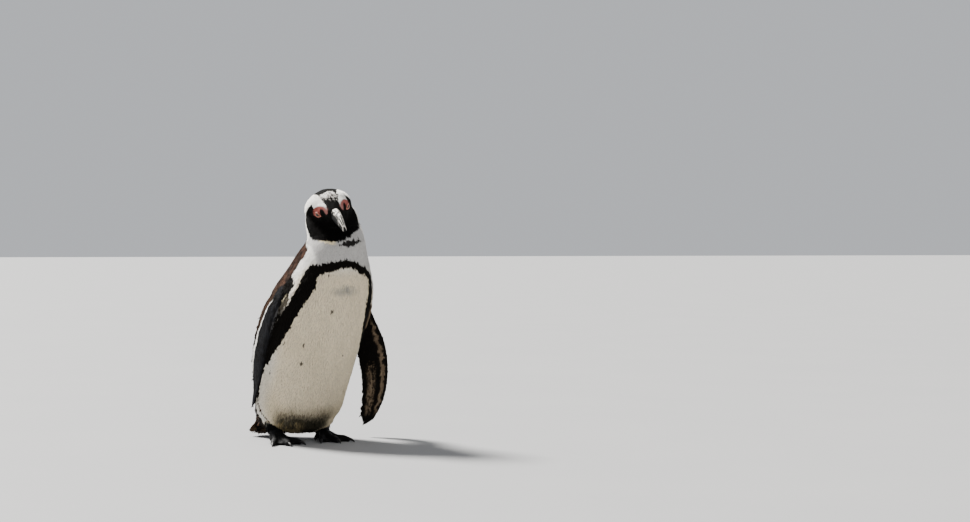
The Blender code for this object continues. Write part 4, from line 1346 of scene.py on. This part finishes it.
billShape = {
    "upper": [(0.018, 0.0064, 0.0085, -0.0052), (0.03, 0.0078, 0.009, -0.0053),
              (0.042, 0.0071, 0.008, -0.0056), (0.055, 0.0061, 0.0064, -0.0065),
              (0.066, 0.0052, 0.0044, -0.0083), (0.0725, 0.0045, 0.0018, -0.0102),
              (0.079, 0.0034, -0.003, -0.0126), (0.0832, 0.0016, -0.0088, -0.0146)],
    "lower": [(0.018, 0.0058, -0.0057, -0.0138), (0.03, 0.0067, -0.0058, -0.0146),
              (0.042, 0.0061, -0.0061, -0.0146), (0.055, 0.0052, -0.007, -0.0143),
              (0.066, 0.0041, -0.0088, -0.014), (0.0725, 0.0027, -0.0107, -0.0134)],
    "steps": 90, "round": 44, "groove": 0.0003, "lowerGroove": 0.00022,
    "nostril": 0.0012, "nostrilAhead": 0.0375}


def billRings(upper):
    rows = curveRows(billShape["upper" if upper else "lower"], billShape["steps"])
    rings = []
    for ahead, wide, top, foot in rows:
        flat, arch = (foot, top - foot) if upper else (top, foot - top)
        turn = np.linspace(0, math.pi, billShape["round"])
        side = np.sign(np.cos(turn)) * np.abs(np.cos(turn)) ** 0.8
        rise = np.sin(turn) ** (0.92 if upper else 0.85)
        # the groove between the ridge and the sides, and the nostril's slit in it
        groove = np.exp(-((rise - 0.52) / 0.07) ** 2) * between(ahead, 0.028, 0.036, 0.064, 0.074)
        slit = np.exp(-((rise - 0.5) / 0.085) ** 2 - ((ahead - billShape["nostrilAhead"]) / 0.0032) ** 2)
        dent = billShape["groove" if upper else "lowerGroove"] * groove
        if upper:
            dent = dent + billShape["nostril"] * slit
        ring = np.stack([side * (wide - dent), np.full(len(turn), -ahead), flat + arch * rise], axis=1)
        floor = np.stack([np.linspace(-1, 1, 9)[1:-1] * wide, np.full(7, -ahead),
                          np.full(7, flat + (0.0004 if upper else -0.0004))], axis=1)
        rings.append(fromHead(np.concatenate([ring, floor])))
    return rings


def billFinish():
    made = Finish("bill horn", {"Specular IOR Level": 0.12})
    place = made.place()
    scuff = made.attribute("scuff")
    flakes = made.noise(place, 330.0, 4.0, 0.7)
    drawn = made.node("ShaderNodeMapping", None, {"Vector": place, "Scale": (1.0, 0.35, 0.6)})
    streaks = made.noise(drawn, 900.0, 3.0)
    pale = made.ramp(scuff + (flakes - 0.5) * 0.7 + (streaks - 0.5) * 0.4, (0.3, 0.0), (0.72, 1.0))
    pale = pale * made.ramp(scuff, (0.02, 0.0), (0.2, 1.0))
    colour = made.mixColours(pale, tones["horn"], tones["hornPale"])
    rough = 0.46 + pale * 0.28 + flakes * 0.08
    return made.wear(color=colour, roughness=rough, normal=made.bump(flakes + streaks * 0.5, 0.3, 0.0004))


def billScuffs(rows, upper):
    # how far the horn is worn pale: along the ridge, over a bar near the tip, on the nail and on three ribs
    local = toHead(rows)
    ahead = -local[:, 1]
    places, wide, top = np.array(billShape["upper"]).T[:3]
    across = local[:, 0] / np.interp(ahead, places, wide)
    flake = noiseAt(rows, 0.0019, 64) * 0.9 + noiseAt(rows, 0.001, 62) * 0.5
    onTop = fade(np.interp(ahead, places, top) - local[:, 2] + 0.0012 * flake, 0.0048, 0.0062)
    mottled = np.clip(0.38 + 0.5 * flake / flake.std() + 0.4 * across, 0.06, 1)
    ridge = onTop * mottled * between(ahead, 0.024, 0.03, 0.0575, 0.0625)
    ribs = np.max([np.exp(-((across - spot) / 0.13) ** 2) for spot in (-0.72, -0.1, 0.55)], axis=0)
    ribs = ribs * between(ahead, 0.0645, 0.068, 0.08, 0.0815) * 0.8
    bar = np.exp(-((ahead + local[:, 2] * 0.25 - 0.0645) / 0.0013) ** 2) * 0.55
    nail = np.exp(-((ahead - 0.0808) / 0.0012) ** 2) * 0.75
    return np.max([ridge, bar, nail, ribs], axis=0) if upper else bar * 0.8


def buildBill():
    finish = billFinish()
    for name, upper in (("bill_upper", True), ("bill_lower", False)):
        piece = lofted(name + "_horn", billRings(upper), finish)
        keepValues(piece.data, "scuff", billScuffs(meshRows(piece.data.vertices, "co", 3), upper))
        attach(piece, "root")
        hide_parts(name)


# eyes

def eyeFinish():
    made = Finish("eye", {"Coat Weight": 0.12, "Coat Roughness": 0.03, "Specular IOR Level": 0.3,
                          "Roughness": 0.12})
    ring = made.attribute("fromPupil")
    grain = made.noise(made.place(), 1500.0, 3.0)
    colour = made.ramp(ring + (grain - 0.5) * 0.06, (0.0, (0.002, 0.002, 0.002)),
                       (0.3, (0.002, 0.002, 0.002)), (0.34, (0.07, 0.026, 0.01)),
                       (0.52, (0.11, 0.045, 0.018)), (0.62, (0.02, 0.008, 0.005)),
                       (0.7, (0.012, 0.008, 0.007)))
    return made.wear(color=colour)


def buildEyes():
    finish = eyeFinish()
    for name, side in (("eye_left", 1), ("eye_right", -1)):
        outward, ahead, up = eyeAxes(side)
        rings = []
        for theta in np.linspace(0.02, math.pi - 0.02, eyeShape["rings"]):
            reach = eyeShape["radius"] + eyeShape["bulge"] * math.exp(-(theta / 0.45) ** 2)
            turn = np.linspace(0, 2 * math.pi, eyeShape["round"], endpoint=False)[:, None]
            ring = outward * math.cos(theta) + (ahead * np.cos(turn) + up * np.sin(turn)) * math.sin(theta)
            rings.append(fromHead(eyeMiddleLocal(side) + ring * reach))
        piece = lofted(name + "_ball", rings, finish)
        away = toHead(meshRows(piece.data.vertices, "co", 3)) - eyeMiddleLocal(side)
        keepValues(piece.data, "fromPupil", np.arccos(np.clip(unit(away) @ outward, -1, 1)))
        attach(piece, "root")
        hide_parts(name)


# claws

clawShape = {"grow": 0.0001, "rounding": 2}


def clawFinish():
    made = Finish("claw horn", {"Specular IOR Level": 0.25})
    grain = made.noise(made.place(), 800.0, 3.0)
    colour = made.mixColours(grain, tones["claw"], tones["clawPale"])
    return made.wear(color=colour, roughness=0.42 + grain * 0.2, normal=made.bump(grain, 0.2, 0.0003))


def buildClaws():
    finish = clawFinish()
    for side in ("left", "right"):
        for number in range(1, 5):
            node = f"claw_{side}_{number}"
            mesh = mergedCopy([node], clawShape["grow"])
            mesh.materials.append(finish)
            shaped = newObject(node + "_horn", mesh)
            smooth = shaped.modifiers.new("round", "SUBSURF")
            smooth.levels = clawShape["rounding"]
            smooth.render_levels = clawShape["rounding"]
            piece = newObject(node + "_horn", evaluated(shaped))
            piece.name = node + "_horn"
            piece.data.shade_smooth()
            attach(piece, "root")
            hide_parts(node)


buildBill()
buildEyes()
buildClaws()
print("bill, eyes and claws made")


# floor, light and camera

# degrees, metres and millimetres of lens; the camera aims to the right of the head's middle and below it
camera = {"azimuth": -26.0, "elevation": 0.4, "distance": 3.0, "lens": 70.0, "aimRight": 0.2428,
          "aimUp": -0.08136}
studio = {"middle": 0.2, "air": 0.6, "airColour": (0.92, 0.95, 1.0), "floor": 60.0,
          "floorShades": ((0.225, 0.225, 0.23), (0.245, 0.245, 0.245))}
lamps = {  # places are metres towards the camera, to its right and up from the bird's middle
    "side light": {"kind": "SUN", "place": (-1.3, -1.5, 2.3), "power": 19.0, "colour": (1.0, 0.98, 0.94),
                   "size": 14.0},
    "front fill": {"kind": "AREA", "place": (5.0, 1.6, 2.2), "power": 90.0, "colour": (1.0, 0.97, 0.92),
                   "size": 4.0}}


def buildCamera():
    azimuth, elevation = math.radians(camera["azimuth"]), math.radians(camera["elevation"])
    right = Vector((math.cos(azimuth), math.sin(azimuth), 0))
    back = Vector((math.sin(azimuth) * math.cos(elevation), -math.cos(azimuth) * math.cos(elevation),
                   math.sin(elevation)))
    data = bpy.data.cameras.new("camera")
    data.lens = camera["lens"]
    made = bpy.data.objects.new("camera", data)
    bpy.context.scene.collection.objects.link(made)
    aim = Vector(headMiddle) + right * camera["aimRight"] + back.cross(right) * camera["aimUp"]
    made.location = aim + back * camera["distance"]
    made.rotation_mode = "QUATERNION"
    made.rotation_quaternion = (-back).to_track_quat("-Z", "Y")
    bpy.context.scene.camera = made
    return right, back


def buildLamp(name, place, target):
    chosen = lamps[name]
    data = bpy.data.lights.new(name, chosen["kind"])
    if chosen["kind"] == "AREA":
        data.shape = "DISK"
        data.size = chosen["size"]  # metres
    else:
        data.angle = math.radians(chosen["size"])
    data.energy = chosen["power"]
    data.color = chosen["colour"]
    made = bpy.data.objects.new(name, data)
    bpy.context.scene.collection.objects.link(made)
    made.location = place
    made.rotation_mode = "QUATERNION"
    made.rotation_quaternion = (target - place).to_track_quat("-Z", "Y")


def floorFinish():
    made = Finish("studio floor", {"Specular IOR Level": 0.3, "Roughness": 0.7})
    grain = made.noise(made.place(), 3.0, 3.0)
    return made.wear(color=made.mixColours(grain, *studio["floorShades"]))


def buildStudio():
    right, back = buildCamera()
    middle = Vector((0, 0, studio["middle"]))
    for name, chosen in lamps.items():
        towards, aside, up = chosen["place"]
        buildLamp(name, middle + back * towards + right * aside + Vector((0, 0, up)), middle)
    mesh = bpy.data.meshes.new("floor")
    size = studio["floor"]
    corners = [(-size, -size, 0), (size, -size, 0), (size, size, 0), (-size, size, 0)]
    mesh.from_pydata(corners, [], [(0, 1, 2, 3)])
    floor = newObject("floor", mesh, floorFinish())
    world = bpy.data.worlds.new("studio air")
    world.use_nodes = True
    air = world.node_tree.nodes["Background"]
    air.inputs["Color"].default_value = (*studio["airColour"], 1.0)
    air.inputs["Strength"].default_value = studio["air"]
    bpy.context.scene.world = world


buildStudio()
print("done")
